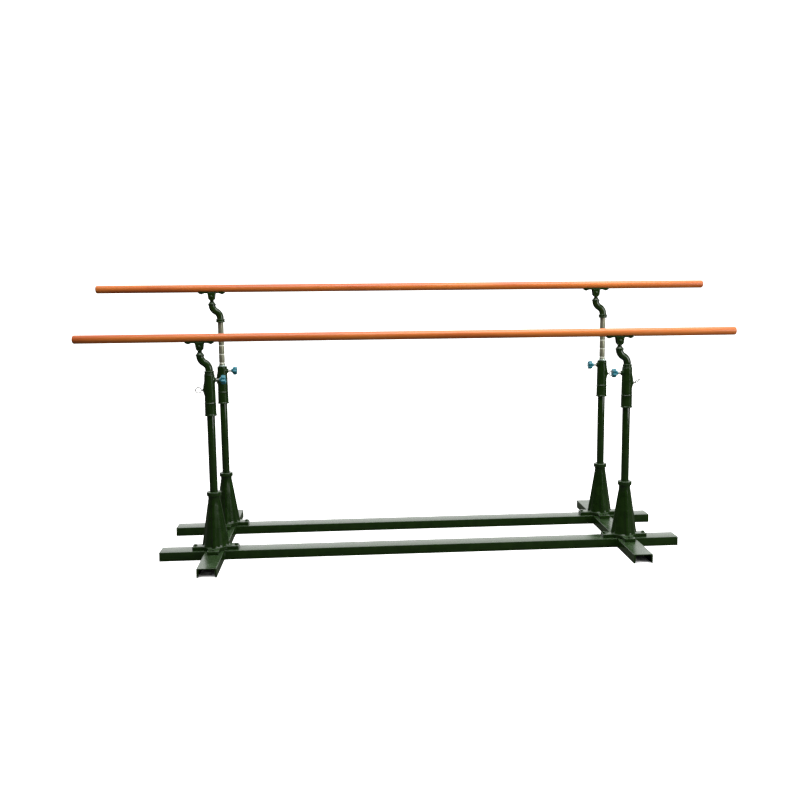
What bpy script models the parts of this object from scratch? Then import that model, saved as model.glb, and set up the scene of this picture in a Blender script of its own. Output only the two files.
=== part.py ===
"""Gymnastics parallel bars: two rails on four telescopic supports over a welded channel frame.

Axes: +X runs along the rails, +Y runs from the front rail to the back rail, +Z is up. The origin
is on the floor, under the middle of the rails. Lengths are metres and angles are radians.
"""

from math import acos, cos, pi, radians, sin, sqrt

import bmesh
import bpy
from mathutils import Matrix

# ---------------------------------------------------------------- driving dimensions

GAP = 0.0003  # clearance left between two pieces that touch

RAIL_LENGTH = 3.500
RAIL_RADIUS = 0.0220
RAIL_END_ROUND = 0.007
LOWEST_RAIL_Z = 1.172  # rail centre line with its tubes fully down

POST_PITCH_X = 2.220
POST_PITCH_Y = 0.480
ARM_OFFSET = 0.044  # sideways reach of an arm, which sets the rail spacing when it turns

NOTCH_PITCH = 0.050
NOTCH_COUNT = 11
RAISED_NOTCHES = {"front": 0, "back": 5}

CHANNEL_WIDTH = 0.100
CHANNEL_HEIGHT = 0.048
CHANNEL_WEB = 0.0053
CHANNEL_FLANGE_EDGE = 0.0070
CHANNEL_FLANGE_ROOT = 0.0100
FOOT_LENGTH = 1.160
BEAM_LENGTH = 2.800

LUG_REACH = 0.122
LUG_WIDTH = 0.060
LUG_THICKNESS = 0.019
LUG_FILLET = 0.032
LUG_CHAMFER = 0.005
CONE_FOOT_RADIUS = 0.0625
NECK_RADIUS = 0.0310
NECK_Z = 0.257  # heights in the pedestal are above the frame's top face
PEDESTAL_COLLAR_Z = 0.296
PEDESTAL_COLLAR_RADIUS = 0.0350
PEDESTAL_HEIGHT = 0.312
PEDESTAL_WALL = 0.0080
RIB_THICKNESS = 0.0070
RIB_PROUD = 0.0065
RIB_FOOT_REACH = 0.096

POST_RADIUS = 0.0210
POST_BORE_RADIUS = 0.0172
POST_FOOT_Z = 0.230

SLEEVE_FOOT_Z = 0.765
SLEEVE_HEIGHT = 0.215
SLEEVE_BEAD_Z = 0.066
SLEEVE_FOOT_RADIUS = 0.0298
SLEEVE_TOP_RADIUS = 0.0272
BEAD_PROUD = 0.0018
BUSH_RADIUS = 0.0185
BUSH_HEIGHT = 0.008
SOCKET_DEPTH = 0.095

TUBE_RADIUS = 0.0160
TUBE_BORE_RADIUS = 0.0115
TUBE_LENGTH = 0.770
TUBE_SPIGOT_RADIUS = 0.0100
TUBE_SPIGOT_HEIGHT = 0.020
GROOVE_DEPTH = 0.0020
GROOVE_HALF_WIDTH = 0.0032

KNOB_Z = 0.188  # heights on the sleeve are above its foot
KNOB_BOSS_RADIUS = 0.0110
KNOB_BOSS_REACH = 0.0350
SCREW_RADIUS = 0.0060
SCREW_HOLE_RADIUS = 0.0066
PAD_RADIUS = 0.0058
PAD_LENGTH = 0.0052
GRIP_START = 0.0510  # distances out along the screw are from the tube's axis
GRIP_END = 0.0830
GRIP_RADIUS = 0.0240
GRIP_HUB_RADIUS = 0.0110
GRIP_LOBES = 6
GRIP_LOBE_DEPTH = 0.0045

PIN_Z = 0.135
PIN_RADIUS = 0.0045
PIN_HOLE_RADIUS = 0.0052
PIN_BOSS_REACH = 0.0345
PIN_COLLAR_REACH = 0.0395
PIN_EYE_REACH = 0.0445
PIN_EYE_RADIUS = 0.0050
PIN_EYE_THICKNESS = 0.0040
RING_HOLE_RADIUS = 0.0025
RING_RADIUS = 0.0145
RING_WIRE_RADIUS = 0.0015
RING_WIRE_SIDES = 5
LIFTED_RING_TILT = radians(30)

ARM_BASE_Z = 0.981  # underside of an arm's collar with its tube fully down
ARM_COLLAR_HEIGHT = 0.020
ARM_COLLAR_RADIUS = 0.0228
ARM_RECESS_RADIUS = 0.0197
ARM_RECESS_DEPTH = 0.0095
ARM_TUBE_RADIUS = 0.0200
ARM_BEND_START = 0.025
ARM_BEND_END = 0.100
ARM_HEAD_Z = 0.103
ARM_HEAD_RADIUS = 0.0220
ARM_HEIGHT = 0.117
ARM_BEND_STEPS = 4

SPINDLE_RADIUS = 0.0085
SPINDLE_LENGTH = 0.026
SHOULDER_RADIUS = 0.0125
SHOULDER_THICKNESS = 0.0030
TONGUE_WIDTH = 0.020
TONGUE_RADIUS = 0.0135
PIVOT_BELOW_RAIL = 0.0455
PIVOT_PIN_RADIUS = 0.0050
PIVOT_HOLE_RADIUS = 0.0055
PIVOT_HEAD_RADIUS = 0.0080
PIVOT_HEAD_THICKNESS = 0.0045
PIVOT_SLOT = 0.0030  # extra reach of the right saddle's slotted hole, each way

SADDLE_LENGTH = 0.150
SADDLE_TROUGH_WIDTH = 0.033
SADDLE_TROUGH_TOP = 0.012  # below the rail's centre line
SADDLE_TROUGH_FLOOR = 0.0265
SADDLE_BLOCK_WIDTH = 0.040
SADDLE_BLOCK_TOP_LENGTH = 0.046
SADDLE_BLOCK_FOOT_LENGTH = 0.034
SADDLE_BLOCK_DEPTH = 0.066
SADDLE_BLOCK_CHAMFER = 0.012
SADDLE_SLOT_WIDTH = 0.0214
SADDLE_BOSS_X = 0.058
SADDLE_BOSS_RADIUS = 0.0135
SADDLE_BOSS_DEPTH = 0.0330

ROUND_SIDES = 16
RAIL_SIDES = 24
SMALL_SIDES = 12

FRAME_CENTRE_X = ARM_OFFSET  # the arms reach towards -X, so the frame stands this far towards +X
SIDES = {"left": -1, "right": 1}
ROWS = {"front": -1, "back": 1}
RING_LIFTED = {("front", "right")}  # its eye lies flat, so its ring tilts up and down

# ---------------------------------------------------------------- materials


def make_material(name, colour, roughness, metallic):
    """Return a Principled material with one colour, roughness and metallic value."""
    material = bpy.data.materials.new(name)
    material.use_nodes = True
    shader = material.node_tree.nodes["Principled BSDF"]
    shader.inputs["Base Color"].default_value = (*colour, 1.0)
    shader.inputs["Roughness"].default_value = roughness
    shader.inputs["Metallic"].default_value = metallic
    return material


def make_materials():
    """Return every material by name."""
    return {
        "enamel": make_material("green_enamel", (0.018, 0.060, 0.016), 0.16, 0.0),
        "rail": make_material("orange_rail", (0.72, 0.19, 0.055), 0.32, 0.0),
        "bright": make_material("bright_steel", (0.62, 0.62, 0.58), 0.28, 1.0),
        "grip": make_material("blue_grip", (0.040, 0.30, 0.46), 0.35, 0.0),
        "wire": make_material("wire_steel", (0.50, 0.50, 0.48), 0.35, 1.0),
    }


# ---------------------------------------------------------------- shape helpers


def to_mesh(bm, name):
    """Turn a bmesh into a mesh with outward faces and smooth round sides."""
    bmesh.ops.recalc_face_normals(bm, faces=bm.faces)
    mesh = bpy.data.meshes.new(name)
    bm.to_mesh(mesh)
    bm.free()
    mesh.shade_smooth()
    mesh.set_sharp_from_angle(angle=radians(35))
    return mesh


def turned(name, profile, sides, hollow=False):
    """Turn a profile of (radius, z) points round Z. A hollow profile is a closed loop."""
    bm = bmesh.new()
    points = [bm.verts.new((radius, 0, z)) for radius, z in profile]
    edges = [bm.edges.new(pair) for pair in zip(points, points[1:])]
    if hollow:
        edges.append(bm.edges.new((points[-1], points[0])))
    bmesh.ops.spin(
        bm,
        geom=points + edges,
        cent=(0, 0, 0),
        axis=(0, 0, 1),
        angle=2 * pi,
        steps=sides,
        use_merge=True,
    )
    bmesh.ops.remove_doubles(bm, verts=bm.verts, dist=1e-6)
    return to_mesh(bm, name)


def extruded(name, outline, start, end):
    """Extrude an outline of (x, z) points along Y from start to end."""
    bm = bmesh.new()
    face = bm.faces.new([bm.verts.new((x, start, z)) for x, z in outline])
    grown = bmesh.ops.extrude_face_region(bm, geom=[face])["geom"]
    moved = [item for item in grown if isinstance(item, bmesh.types.BMVert)]
    bmesh.ops.translate(bm, verts=moved, vec=(0, end - start, 0))
    return to_mesh(bm, name)


def block(name, low, high):
    """Return a box between two corners."""
    outline = [(low[0], low[2]), (high[0], low[2]), (high[0], high[2]), (low[0], high[2])]
    return extruded(name, outline, low[1], high[1])


def rod(name, radius, start, end, sides):
    """Return a cylinder along +X from start to end."""
    mesh = turned(name, [(0, start), (radius, start), (radius, end), (0, end)], sides)
    return moved(mesh, Matrix.Rotation(pi / 2, 4, "Y"))


def moved(mesh, matrix):
    """Transform a mesh in place and return it."""
    mesh.transform(matrix)
    return mesh


def combined(name, base, joined=(), removed=()):
    """Unite meshes with the base, then cut others away, and return one mesh."""
    body = bpy.data.objects.new(name, base)
    bpy.context.scene.collection.objects.link(body)
    helpers = []
    for operation, meshes in (("UNION", joined), ("DIFFERENCE", removed)):
        for mesh in meshes:
            helper = bpy.data.objects.new(name + "_helper", mesh)
            helper.hide_render = True
            helper.display_type = "WIRE"
            bpy.context.scene.collection.objects.link(helper)
            helpers.append(helper)
            modifier = body.modifiers.new(operation.lower(), "BOOLEAN")
            modifier.operation = operation
            modifier.object = helper
    graph = bpy.context.evaluated_depsgraph_get()
    result = bpy.data.meshes.new_from_object(body.evaluated_get(graph))
    for used in [body, *helpers]:
        bpy.data.objects.remove(used)
    result.shade_smooth()
    result.set_sharp_from_angle(angle=radians(35))
    return result


def along_x(mesh):
    """Turn a mesh that was made along Z so that it lies along +X."""
    return moved(mesh, Matrix.Rotation(pi / 2, 4, "Y"))


# ---------------------------------------------------------------- frame


def channel_mesh(name, length):
    """Return an inverted channel that runs along Y, open at both ends, on the floor."""
    half = CHANNEL_WIDTH / 2
    under_web = CHANNEL_HEIGHT - CHANNEL_WEB
    right_half = [
        (half - CHANNEL_FLANGE_ROOT, under_web),
        (half - CHANNEL_FLANGE_EDGE, 0.0),
        (half, 0.0),
        (half, CHANNEL_HEIGHT),
    ]
    left_half = [(-x, z) for x, z in reversed(right_half)]
    return extruded(name, right_half + left_half, -length / 2, length / 2)


# ---------------------------------------------------------------- pedestal and post


def lug_outline():
    """Return the outline of the four crossed lugs, with filleted inner corners."""
    half = LUG_WIDTH / 2
    outline = []
    for quarter in range(4):
        turn = Matrix.Rotation(quarter * pi / 2, 2)
        corner = [(LUG_REACH, half - LUG_CHAMFER), (LUG_REACH - LUG_CHAMFER, half)]
        centre = half + LUG_FILLET
        for step in range(5):
            angle = 3 * pi / 2 - step * pi / 8
            corner.append((centre + LUG_FILLET * cos(angle), centre + LUG_FILLET * sin(angle)))
        corner += [(half, LUG_REACH - LUG_CHAMFER), (half - LUG_CHAMFER, LUG_REACH)]
        outline += [turn @ Matrix.Translation((x, y, 0)).to_translation().xy for x, y in corner]
    return outline


def lug_plate_mesh():
    """Return the flat cross of lugs that stands on the frame."""
    bm = bmesh.new()
    face = bm.faces.new([bm.verts.new((x, y, 0)) for x, y in lug_outline()])
    grown = bmesh.ops.extrude_face_region(bm, geom=[face])["geom"]
    tops = [item for item in grown if isinstance(item, bmesh.types.BMVert)]
    bmesh.ops.translate(bm, verts=tops, vec=(0, 0, LUG_THICKNESS))
    return to_mesh(bm, "lug_plate")


def cone_radius(z):
    """Return the outer radius of the pedestal's cone at a height above the frame."""
    slope = (CONE_FOOT_RADIUS - NECK_RADIUS) / (NECK_Z - LUG_THICKNESS)
    return CONE_FOOT_RADIUS - slope * (z - LUG_THICKNESS)


def rib_mesh(quarter):
    """Return one of the ribs that run down the cone onto a lug."""
    inset = PEDESTAL_WALL / 2
    foot_top = LUG_THICKNESS + 0.003
    outline = [
        (cone_radius(foot_top) - inset, LUG_THICKNESS / 2),
        (RIB_FOOT_REACH, LUG_THICKNESS / 2),
        (RIB_FOOT_REACH, foot_top),
        (cone_radius(0.045) + RIB_PROUD, 0.045),
        (cone_radius(NECK_Z) + RIB_PROUD * 0.4, NECK_Z),
        (cone_radius(NECK_Z) - inset, NECK_Z),
    ]
    rib = extruded("rib", outline, -RIB_THICKNESS / 2, RIB_THICKNESS / 2)
    return moved(rib, Matrix.Rotation(quarter * pi / 2, 4, "Z"))


def pedestal_mesh():
    """Return the hollow cast pedestal. Its origin is on the post's axis, at its underside."""
    bore = POST_RADIUS + GAP * 1.8
    socket_foot = POST_FOOT_Z - CHANNEL_HEIGHT - 0.004
    profile = [
        (CONE_FOOT_RADIUS, LUG_THICKNESS / 3),
        (CONE_FOOT_RADIUS, LUG_THICKNESS),
        (NECK_RADIUS, NECK_Z),
        (NECK_RADIUS, PEDESTAL_COLLAR_Z),
        (PEDESTAL_COLLAR_RADIUS, PEDESTAL_COLLAR_Z + 0.003),
        (PEDESTAL_COLLAR_RADIUS, PEDESTAL_HEIGHT - 0.004),
        (PEDESTAL_COLLAR_RADIUS - 0.005, PEDESTAL_HEIGHT),
        (bore, PEDESTAL_HEIGHT),
        (bore, socket_foot),
        (cone_radius(socket_foot) - PEDESTAL_WALL, socket_foot - 0.002),
        (CONE_FOOT_RADIUS - PEDESTAL_WALL, LUG_THICKNESS / 3),
    ]
    cone = turned("cone", profile, ROUND_SIDES, hollow=True)
    cavity_radius = CONE_FOOT_RADIUS - PEDESTAL_WALL
    cavity_profile = [
        (0, -0.01),
        (cavity_radius, -0.01),
        (cavity_radius, LUG_THICKNESS / 3),
        (cavity_radius - 0.004, LUG_THICKNESS + 0.02),
        (0, LUG_THICKNESS + 0.02),
    ]
    cavity = turned("cavity", cavity_profile, ROUND_SIDES)
    ribs = [rib_mesh(quarter) for quarter in range(4)]
    return combined("pedestal", lug_plate_mesh(), joined=[cone, *ribs], removed=[cavity])


def post_mesh():
    """Return the outer tube, from the pedestal's socket up into the sleeve."""
    top = SLEEVE_FOOT_Z + SOCKET_DEPTH - 0.002
    profile = [
        (POST_RADIUS, POST_FOOT_Z),
        (POST_RADIUS, top),
        (POST_BORE_RADIUS, top),
        (POST_BORE_RADIUS, POST_FOOT_Z),
    ]
    return turned("post", profile, ROUND_SIDES, hollow=True)


# ---------------------------------------------------------------- sleeve


def sleeve_mesh():
    """Return the cast sleeve with its knob boss on +X and its pin boss on -X."""
    bead = SLEEVE_FOOT_RADIUS + BEAD_PROUD
    socket = POST_RADIUS + GAP * 1.8
    bore = TUBE_RADIUS + 0.0005
    profile = [
        (bead, 0.0),
        (bead, 0.005),
        (SLEEVE_FOOT_RADIUS, 0.008),
        (SLEEVE_FOOT_RADIUS, SLEEVE_BEAD_Z - 0.003),
        (bead, SLEEVE_BEAD_Z),
        (SLEEVE_FOOT_RADIUS - 0.001, SLEEVE_BEAD_Z + 0.003),
        (SLEEVE_TOP_RADIUS, SLEEVE_HEIGHT),
        (BUSH_RADIUS, SLEEVE_HEIGHT),
        (BUSH_RADIUS, SLEEVE_HEIGHT + BUSH_HEIGHT),
        (bore, SLEEVE_HEIGHT + BUSH_HEIGHT),
        (bore, SOCKET_DEPTH),
        (socket, SOCKET_DEPTH),
        (socket, 0.0),
    ]
    shell = turned("sleeve_shell", profile, ROUND_SIDES, hollow=True)
    lift_knob = Matrix.Translation((0, 0, KNOB_Z))
    lift_pin = Matrix.Translation((0, 0, PIN_Z))
    wall = (SLEEVE_TOP_RADIUS + bore) / 2
    boss = moved(rod("boss", KNOB_BOSS_RADIUS, wall, KNOB_BOSS_REACH, SMALL_SIDES), lift_knob)
    hole = moved(rod("hole", SCREW_HOLE_RADIUS, 0.010, 0.060, SMALL_SIDES), lift_knob)
    bulge = pin_boss_mesh(wall)
    pin_hole = rod("pin_hole", PIN_HOLE_RADIUS, 0.010, 0.060, SMALL_SIDES)
    pin_hole = moved(pin_hole, lift_pin @ Matrix.Rotation(pi, 4, "Z"))
    return combined("sleeve", shell, joined=[boss, bulge], removed=[hole, pin_hole])


def pin_boss_mesh(wall):
    """Return the swelling that carries the pull pin: an oval dome that reaches along -X."""
    profile = [
        (0, wall),
        (0.0300, wall),
        (0.0285, 0.0250),
        (0.0190, 0.0300),
        (0.0105, PIN_BOSS_REACH),
        (0, PIN_BOSS_REACH),
    ]
    dome = along_x(turned("pin_boss", profile, ROUND_SIDES))
    narrow = Matrix.Diagonal((1, 0.56, 1, 1))
    lift = Matrix.Translation((0, 0, PIN_Z))
    return moved(dome, lift @ Matrix.Rotation(pi, 4, "Z") @ narrow)


# ---------------------------------------------------------------- inner tube


def first_groove_below_top():
    """Return how far the highest groove lies below the tube's shoulder."""
    shoulder_z = ARM_BASE_Z + ARM_RECESS_DEPTH - GAP
    return shoulder_z - (SLEEVE_FOOT_Z + PIN_Z)


def inner_tube_mesh():
    """Return the grooved tube. Its origin is on its axis at the shoulder that carries the arm."""
    spigot = TUBE_SPIGOT_RADIUS
    profile = [
        (0, TUBE_SPIGOT_HEIGHT),
        (spigot, TUBE_SPIGOT_HEIGHT),
        (spigot, 0.0),
        (TUBE_RADIUS, 0.0),
    ]
    for index in range(NOTCH_COUNT):
        z = -first_groove_below_top() - index * NOTCH_PITCH
        profile += [
            (TUBE_RADIUS, z + GROOVE_HALF_WIDTH),
            (TUBE_RADIUS - GROOVE_DEPTH, z),
            (TUBE_RADIUS, z - GROOVE_HALF_WIDTH),
        ]
    profile += [
        (TUBE_RADIUS, -TUBE_LENGTH),
        (TUBE_BORE_RADIUS, -TUBE_LENGTH),
        (TUBE_BORE_RADIUS, -0.012),
        (0, -0.012),
    ]
    return turned("inner_tube", profile, SMALL_SIDES)


# ---------------------------------------------------------------- arm, swivel head and pivot


def arm_path():
    """Return the arm's centre line as (x, z) points: straight, two equal arcs, straight."""
    rise = ARM_BEND_END - ARM_BEND_START
    bend = pi - 2 * acos(ARM_OFFSET / sqrt(ARM_OFFSET**2 + rise**2))
    radius = rise / (2 * sin(bend))
    steps = ARM_BEND_STEPS
    path = [(0.0, ARM_COLLAR_HEIGHT / 2)]
    for step in range(steps + 1):
        angle = bend * step / steps
        path.append((-radius * (1 - cos(angle)), ARM_BEND_START + radius * sin(angle)))
    for step in range(1, steps + 1):
        angle = bend * (1 - step / steps)
        path.append((-ARM_OFFSET + radius * (1 - cos(angle)), ARM_BEND_END - radius * sin(angle)))
    path.append((-ARM_OFFSET, ARM_HEAD_Z + 0.0005))
    return path


def arm_tube_mesh():
    """Return the bent bar of the arm, as a bevelled curve turned into a mesh."""
    curve = bpy.data.curves.new("arm_curve", "CURVE")
    curve.dimensions = "3D"
    curve.bevel_depth = ARM_TUBE_RADIUS
    curve.bevel_resolution = 4
    curve.use_fill_caps = True
    spline = curve.splines.new("POLY")
    path = arm_path()
    spline.points.add(len(path) - 1)
    for point, (x, z) in zip(spline.points, path):
        point.co = (x, 0, z, 1)
    holder = bpy.data.objects.new("arm_curve", curve)
    bpy.context.scene.collection.objects.link(holder)
    graph = bpy.context.evaluated_depsgraph_get()
    mesh = bpy.data.meshes.new_from_object(holder.evaluated_get(graph))
    bpy.data.objects.remove(holder)
    bm = bmesh.new()
    bm.from_mesh(mesh)
    bmesh.ops.remove_doubles(bm, verts=bm.verts, dist=1e-6)
    return to_mesh(bm, "arm_tube")


def arm_mesh():
    """Return the S-shaped arm. Its origin is on the tube's axis at the collar's underside."""
    collar_profile = [
        (0, 0.0),
        (ARM_COLLAR_RADIUS, 0.0),
        (ARM_COLLAR_RADIUS, 0.006),
        (ARM_COLLAR_RADIUS - 0.0018, 0.010),
        (ARM_COLLAR_RADIUS - 0.0008, 0.016),
        (ARM_TUBE_RADIUS - 0.001, ARM_COLLAR_HEIGHT),
        (0, ARM_COLLAR_HEIGHT),
    ]
    head_profile = [
        (0, ARM_HEAD_Z - 0.004),
        (ARM_TUBE_RADIUS - 0.001, ARM_HEAD_Z - 0.004),
        (ARM_HEAD_RADIUS, ARM_HEAD_Z + 0.001),
        (ARM_HEAD_RADIUS, ARM_HEIGHT - 0.009),
        (ARM_HEAD_RADIUS - 0.008, ARM_HEIGHT),
        (0, ARM_HEIGHT),
    ]
    collar = turned("arm_collar", collar_profile, SMALL_SIDES)
    head = turned("arm_head", head_profile, SMALL_SIDES)
    head = moved(head, Matrix.Translation((-ARM_OFFSET, 0, 0)))
    lower_bore = turned(
        "lower_bore",
        [
            (0, -0.01),
            (ARM_RECESS_RADIUS, -0.01),
            (ARM_RECESS_RADIUS, ARM_RECESS_DEPTH),
            (TUBE_SPIGOT_RADIUS + 0.0005, ARM_RECESS_DEPTH),
            (TUBE_SPIGOT_RADIUS + 0.0005, ARM_RECESS_DEPTH + TUBE_SPIGOT_HEIGHT + 0.001),
            (0, ARM_RECESS_DEPTH + TUBE_SPIGOT_HEIGHT + 0.001),
        ],
        SMALL_SIDES,
    )
    upper_bore = turned(
        "upper_bore",
        [
            (0, ARM_HEIGHT - SPINDLE_LENGTH - 0.002),
            (SPINDLE_RADIUS + 0.0005, ARM_HEIGHT - SPINDLE_LENGTH - 0.002),
            (SPINDLE_RADIUS + 0.0005, ARM_HEIGHT + 0.01),
            (0, ARM_HEIGHT + 0.01),
        ],
        SMALL_SIDES,
    )
    upper_bore = moved(upper_bore, Matrix.Translation((-ARM_OFFSET, 0, 0)))
    return combined("arm", arm_tube_mesh(), [collar, head], [lower_bore, upper_bore])


def pivot_above_arm():
    """Return how far the rail's pivot stands above the top of the arm."""
    return LOWEST_RAIL_Z - PIVOT_BELOW_RAIL - (ARM_BASE_Z + ARM_HEIGHT)


def swivel_head_mesh():
    """Return the swivel head. Its origin is on its spindle's axis at the top of the arm."""
    shoulder = [
        (0, -SPINDLE_LENGTH),
        (SPINDLE_RADIUS, -SPINDLE_LENGTH),
        (SPINDLE_RADIUS, GAP),
        (SHOULDER_RADIUS, GAP),
        (SHOULDER_RADIUS, SHOULDER_THICKNESS),
        (0, SHOULDER_THICKNESS),
    ]
    spindle = turned("spindle", shoulder, SMALL_SIDES)
    pivot = pivot_above_arm()
    foot = SHOULDER_THICKNESS / 2
    outline = [(TONGUE_RADIUS * 0.8, foot), (TONGUE_RADIUS, foot + 0.003)]
    for step in range(7):
        angle = pi * step / 6
        outline.append((TONGUE_RADIUS * cos(angle), pivot + TONGUE_RADIUS * sin(angle)))
    outline += [(-TONGUE_RADIUS, foot + 0.003), (-TONGUE_RADIUS * 0.8, foot)]
    tongue = extruded("tongue", outline, -TONGUE_WIDTH / 2, TONGUE_WIDTH / 2)
    return combined("swivel_head", spindle, [tongue], [pivot_hole_mesh(pivot, 0.0)])


def pivot_hole_mesh(z, slot):
    """Return the cutter for a hole along Y, stretched along X by slot each way."""
    outline = []
    for step in range(SMALL_SIDES + 1):
        angle = pi * step / SMALL_SIDES - pi / 2
        x = slot + PIVOT_HOLE_RADIUS * cos(angle)
        outline.append((x, z + PIVOT_HOLE_RADIUS * sin(angle)))
    mirrored = [(-x, height) for x, height in reversed(outline)]
    if slot == 0.0:
        mirrored = mirrored[1:-1]
    return extruded("pivot_hole", outline + mirrored, -0.05, 0.05)


def cross_pin_mesh():
    """Return the headed pin along Y through the saddle and the tongue."""
    half = SADDLE_BLOCK_WIDTH / 2 + 0.0005
    profile = [
        (0, -half - PIVOT_HEAD_THICKNESS),
        (PIVOT_HEAD_RADIUS, -half - PIVOT_HEAD_THICKNESS),
        (PIVOT_HEAD_RADIUS, -half),
        (PIVOT_PIN_RADIUS, -half),
        (PIVOT_PIN_RADIUS, half + 0.006),
        (0, half + 0.006),
    ]
    return moved(turned("cross_pin", profile, SMALL_SIDES), Matrix.Rotation(-pi / 2, 4, "X"))


# ---------------------------------------------------------------- saddle and rail


def saddle_mesh(slot):
    """Return a saddle. Its origin is on its pivot, and slot stretches its hole along X."""
    rail = PIVOT_BELOW_RAIL  # height of the rail's centre line above the pivot
    half = SADDLE_LENGTH / 2
    floor = rail - SADDLE_TROUGH_FLOOR
    trough = block(
        "trough",
        (-half, -SADDLE_TROUGH_WIDTH / 2, floor),
        (half, SADDLE_TROUGH_WIDTH / 2, rail - SADDLE_TROUGH_TOP),
    )
    foot = rail - SADDLE_BLOCK_DEPTH
    top_half = SADDLE_BLOCK_TOP_LENGTH / 2
    foot_half = SADDLE_BLOCK_FOOT_LENGTH / 2
    side = [
        (foot_half - SADDLE_BLOCK_CHAMFER / 2, foot),
        (foot_half, foot + SADDLE_BLOCK_CHAMFER),
        (top_half, floor + 0.002),
        (top_half, rail - SADDLE_TROUGH_TOP - 0.002),
    ]
    outline = side + [(-x, z) for x, z in reversed(side)]
    cheeks = extruded("cheeks", outline, -SADDLE_BLOCK_WIDTH / 2, SADDLE_BLOCK_WIDTH / 2)
    bosses = [saddle_boss_mesh(direction, floor, rail) for direction in (-1, 1)]
    channel = along_x(turned("channel", rail_cutter_profile(), RAIL_SIDES))
    channel = moved(channel, Matrix.Translation((0, 0, rail)))
    reach = TONGUE_RADIUS + 0.003
    slot_box = block(
        "slot_box",
        (-top_half - 0.01, -SADDLE_SLOT_WIDTH / 2, foot - 0.01),
        (top_half + 0.01, SADDLE_SLOT_WIDTH / 2, reach),
    )
    hole = pivot_hole_mesh(0.0, slot)
    return combined("saddle", trough, [cheeks, *bosses], [channel, slot_box, hole])


def saddle_boss_mesh(direction, floor, rail):
    """Return the rounded boss for a saddle screw, under one end of the trough."""
    foot = rail - SADDLE_BOSS_DEPTH
    profile = [
        (0, foot),
        (SADDLE_BOSS_RADIUS - 0.004, foot),
        (SADDLE_BOSS_RADIUS, foot + 0.004),
        (SADDLE_BOSS_RADIUS, floor + 0.003),
        (0, floor + 0.003),
    ]
    boss = turned("saddle_boss", profile, SMALL_SIDES)
    return moved(boss, Matrix.Translation((direction * SADDLE_BOSS_X, 0, 0)))


def rail_cutter_profile():
    """Return the profile of the rail's seat, cut as a rod a little wider than the rail."""
    radius = (RAIL_RADIUS + GAP) / cos(pi / RAIL_SIDES)
    return [(0, -0.2), (radius, -0.2), (radius, 0.2), (0, 0.2)]


def rail_mesh():
    """Return a rail along X with rounded ends. Its origin is at its middle."""
    half = RAIL_LENGTH / 2
    steps = 3
    end = [(0, half)]
    for step in range(steps + 1):
        angle = pi / 2 * (1 - step / steps)
        radius = RAIL_RADIUS - RAIL_END_ROUND * (1 - cos(angle))
        end.append((radius, half - RAIL_END_ROUND * (1 - sin(angle))))
    profile = end + [(radius, -z) for radius, z in reversed(end)]
    return along_x(turned("rail", profile, RAIL_SIDES))


# ---------------------------------------------------------------- knob, pad, pull pin and ring


def grip_outline():
    """Return the star grip's outline: smooth lobes from a cosine."""
    outline = []
    points = GRIP_LOBES * 4
    for step in range(points):
        angle = 2 * pi * step / points
        radius = GRIP_RADIUS - GRIP_LOBE_DEPTH * (1 - cos(GRIP_LOBES * angle)) / 2
        outline.append((radius * cos(angle), radius * sin(angle)))
    return outline


def knob_mesh():
    """Return the star grip on its screw, along +X. Its origin is on the tube's axis."""
    bm = bmesh.new()
    face = bm.faces.new([bm.verts.new((0.061, y, z)) for y, z in grip_outline()])
    grown = bmesh.ops.extrude_face_region(bm, geom=[face])["geom"]
    far = [item for item in grown if isinstance(item, bmesh.types.BMVert)]
    bmesh.ops.translate(bm, verts=far, vec=(GRIP_END - 0.061, 0, 0))
    star = to_mesh(bm, "star")
    hub = along_x(
        turned(
            "hub",
            [(0, GRIP_START), (GRIP_HUB_RADIUS, GRIP_START), (0.016, 0.064), (0, 0.064)],
            SMALL_SIDES,
        )
    )
    screw = rod("screw", SCREW_RADIUS, TUBE_RADIUS + PAD_LENGTH + 2 * GAP, 0.070, SMALL_SIDES)
    return combined("knob", star, [hub, screw])


def pad_mesh():
    """Return the pad that the screw pushes onto the tube, along +X."""
    start = TUBE_RADIUS + GAP
    return rod("clamp_pad", PAD_RADIUS, start, start + PAD_LENGTH, SMALL_SIDES)


def pull_pin_mesh():
    """Return the pull pin along +X, with a flat eye at its outer end that is pierced along Z."""
    tip = TUBE_RADIUS + GAP
    collar = PIN_BOSS_REACH + 0.0025
    profile = [
        (0, tip),
        (0.0008, tip),
        (PIN_RADIUS, tip + 0.0045),
        (PIN_RADIUS, collar),
        (0.0070, collar),
        (0.0070, PIN_COLLAR_REACH),
        (0, PIN_COLLAR_REACH),
    ]
    pin = along_x(turned("pin", profile, SMALL_SIDES))
    eye_outline = []
    for step in range(7):
        angle = pi * step / 6 - pi / 2
        x = PIN_EYE_REACH + PIN_EYE_RADIUS * cos(angle)
        eye_outline.append((x, PIN_EYE_RADIUS * sin(angle)))
    eye_outline += [(PIN_COLLAR_REACH - 0.001, PIN_EYE_RADIUS), (PIN_COLLAR_REACH - 0.001, -PIN_EYE_RADIUS)]
    half = PIN_EYE_THICKNESS / 2
    eye = extruded("eye", eye_outline, -half, half)
    hole_profile = [(0, -0.01), (RING_HOLE_RADIUS, -0.01), (RING_HOLE_RADIUS, 0.01), (0, 0.01)]
    hole = turned("eye_hole", hole_profile, SMALL_SIDES)
    hole = moved(hole, Matrix.Rotation(pi / 2, 4, "X"))
    hole = moved(hole, Matrix.Translation((PIN_EYE_REACH, 0, 0)))
    pierced_along_y = combined("pull_pin", pin, [eye], [hole])
    return moved(pierced_along_y, Matrix.Rotation(pi / 2, 4, "X"))


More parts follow.
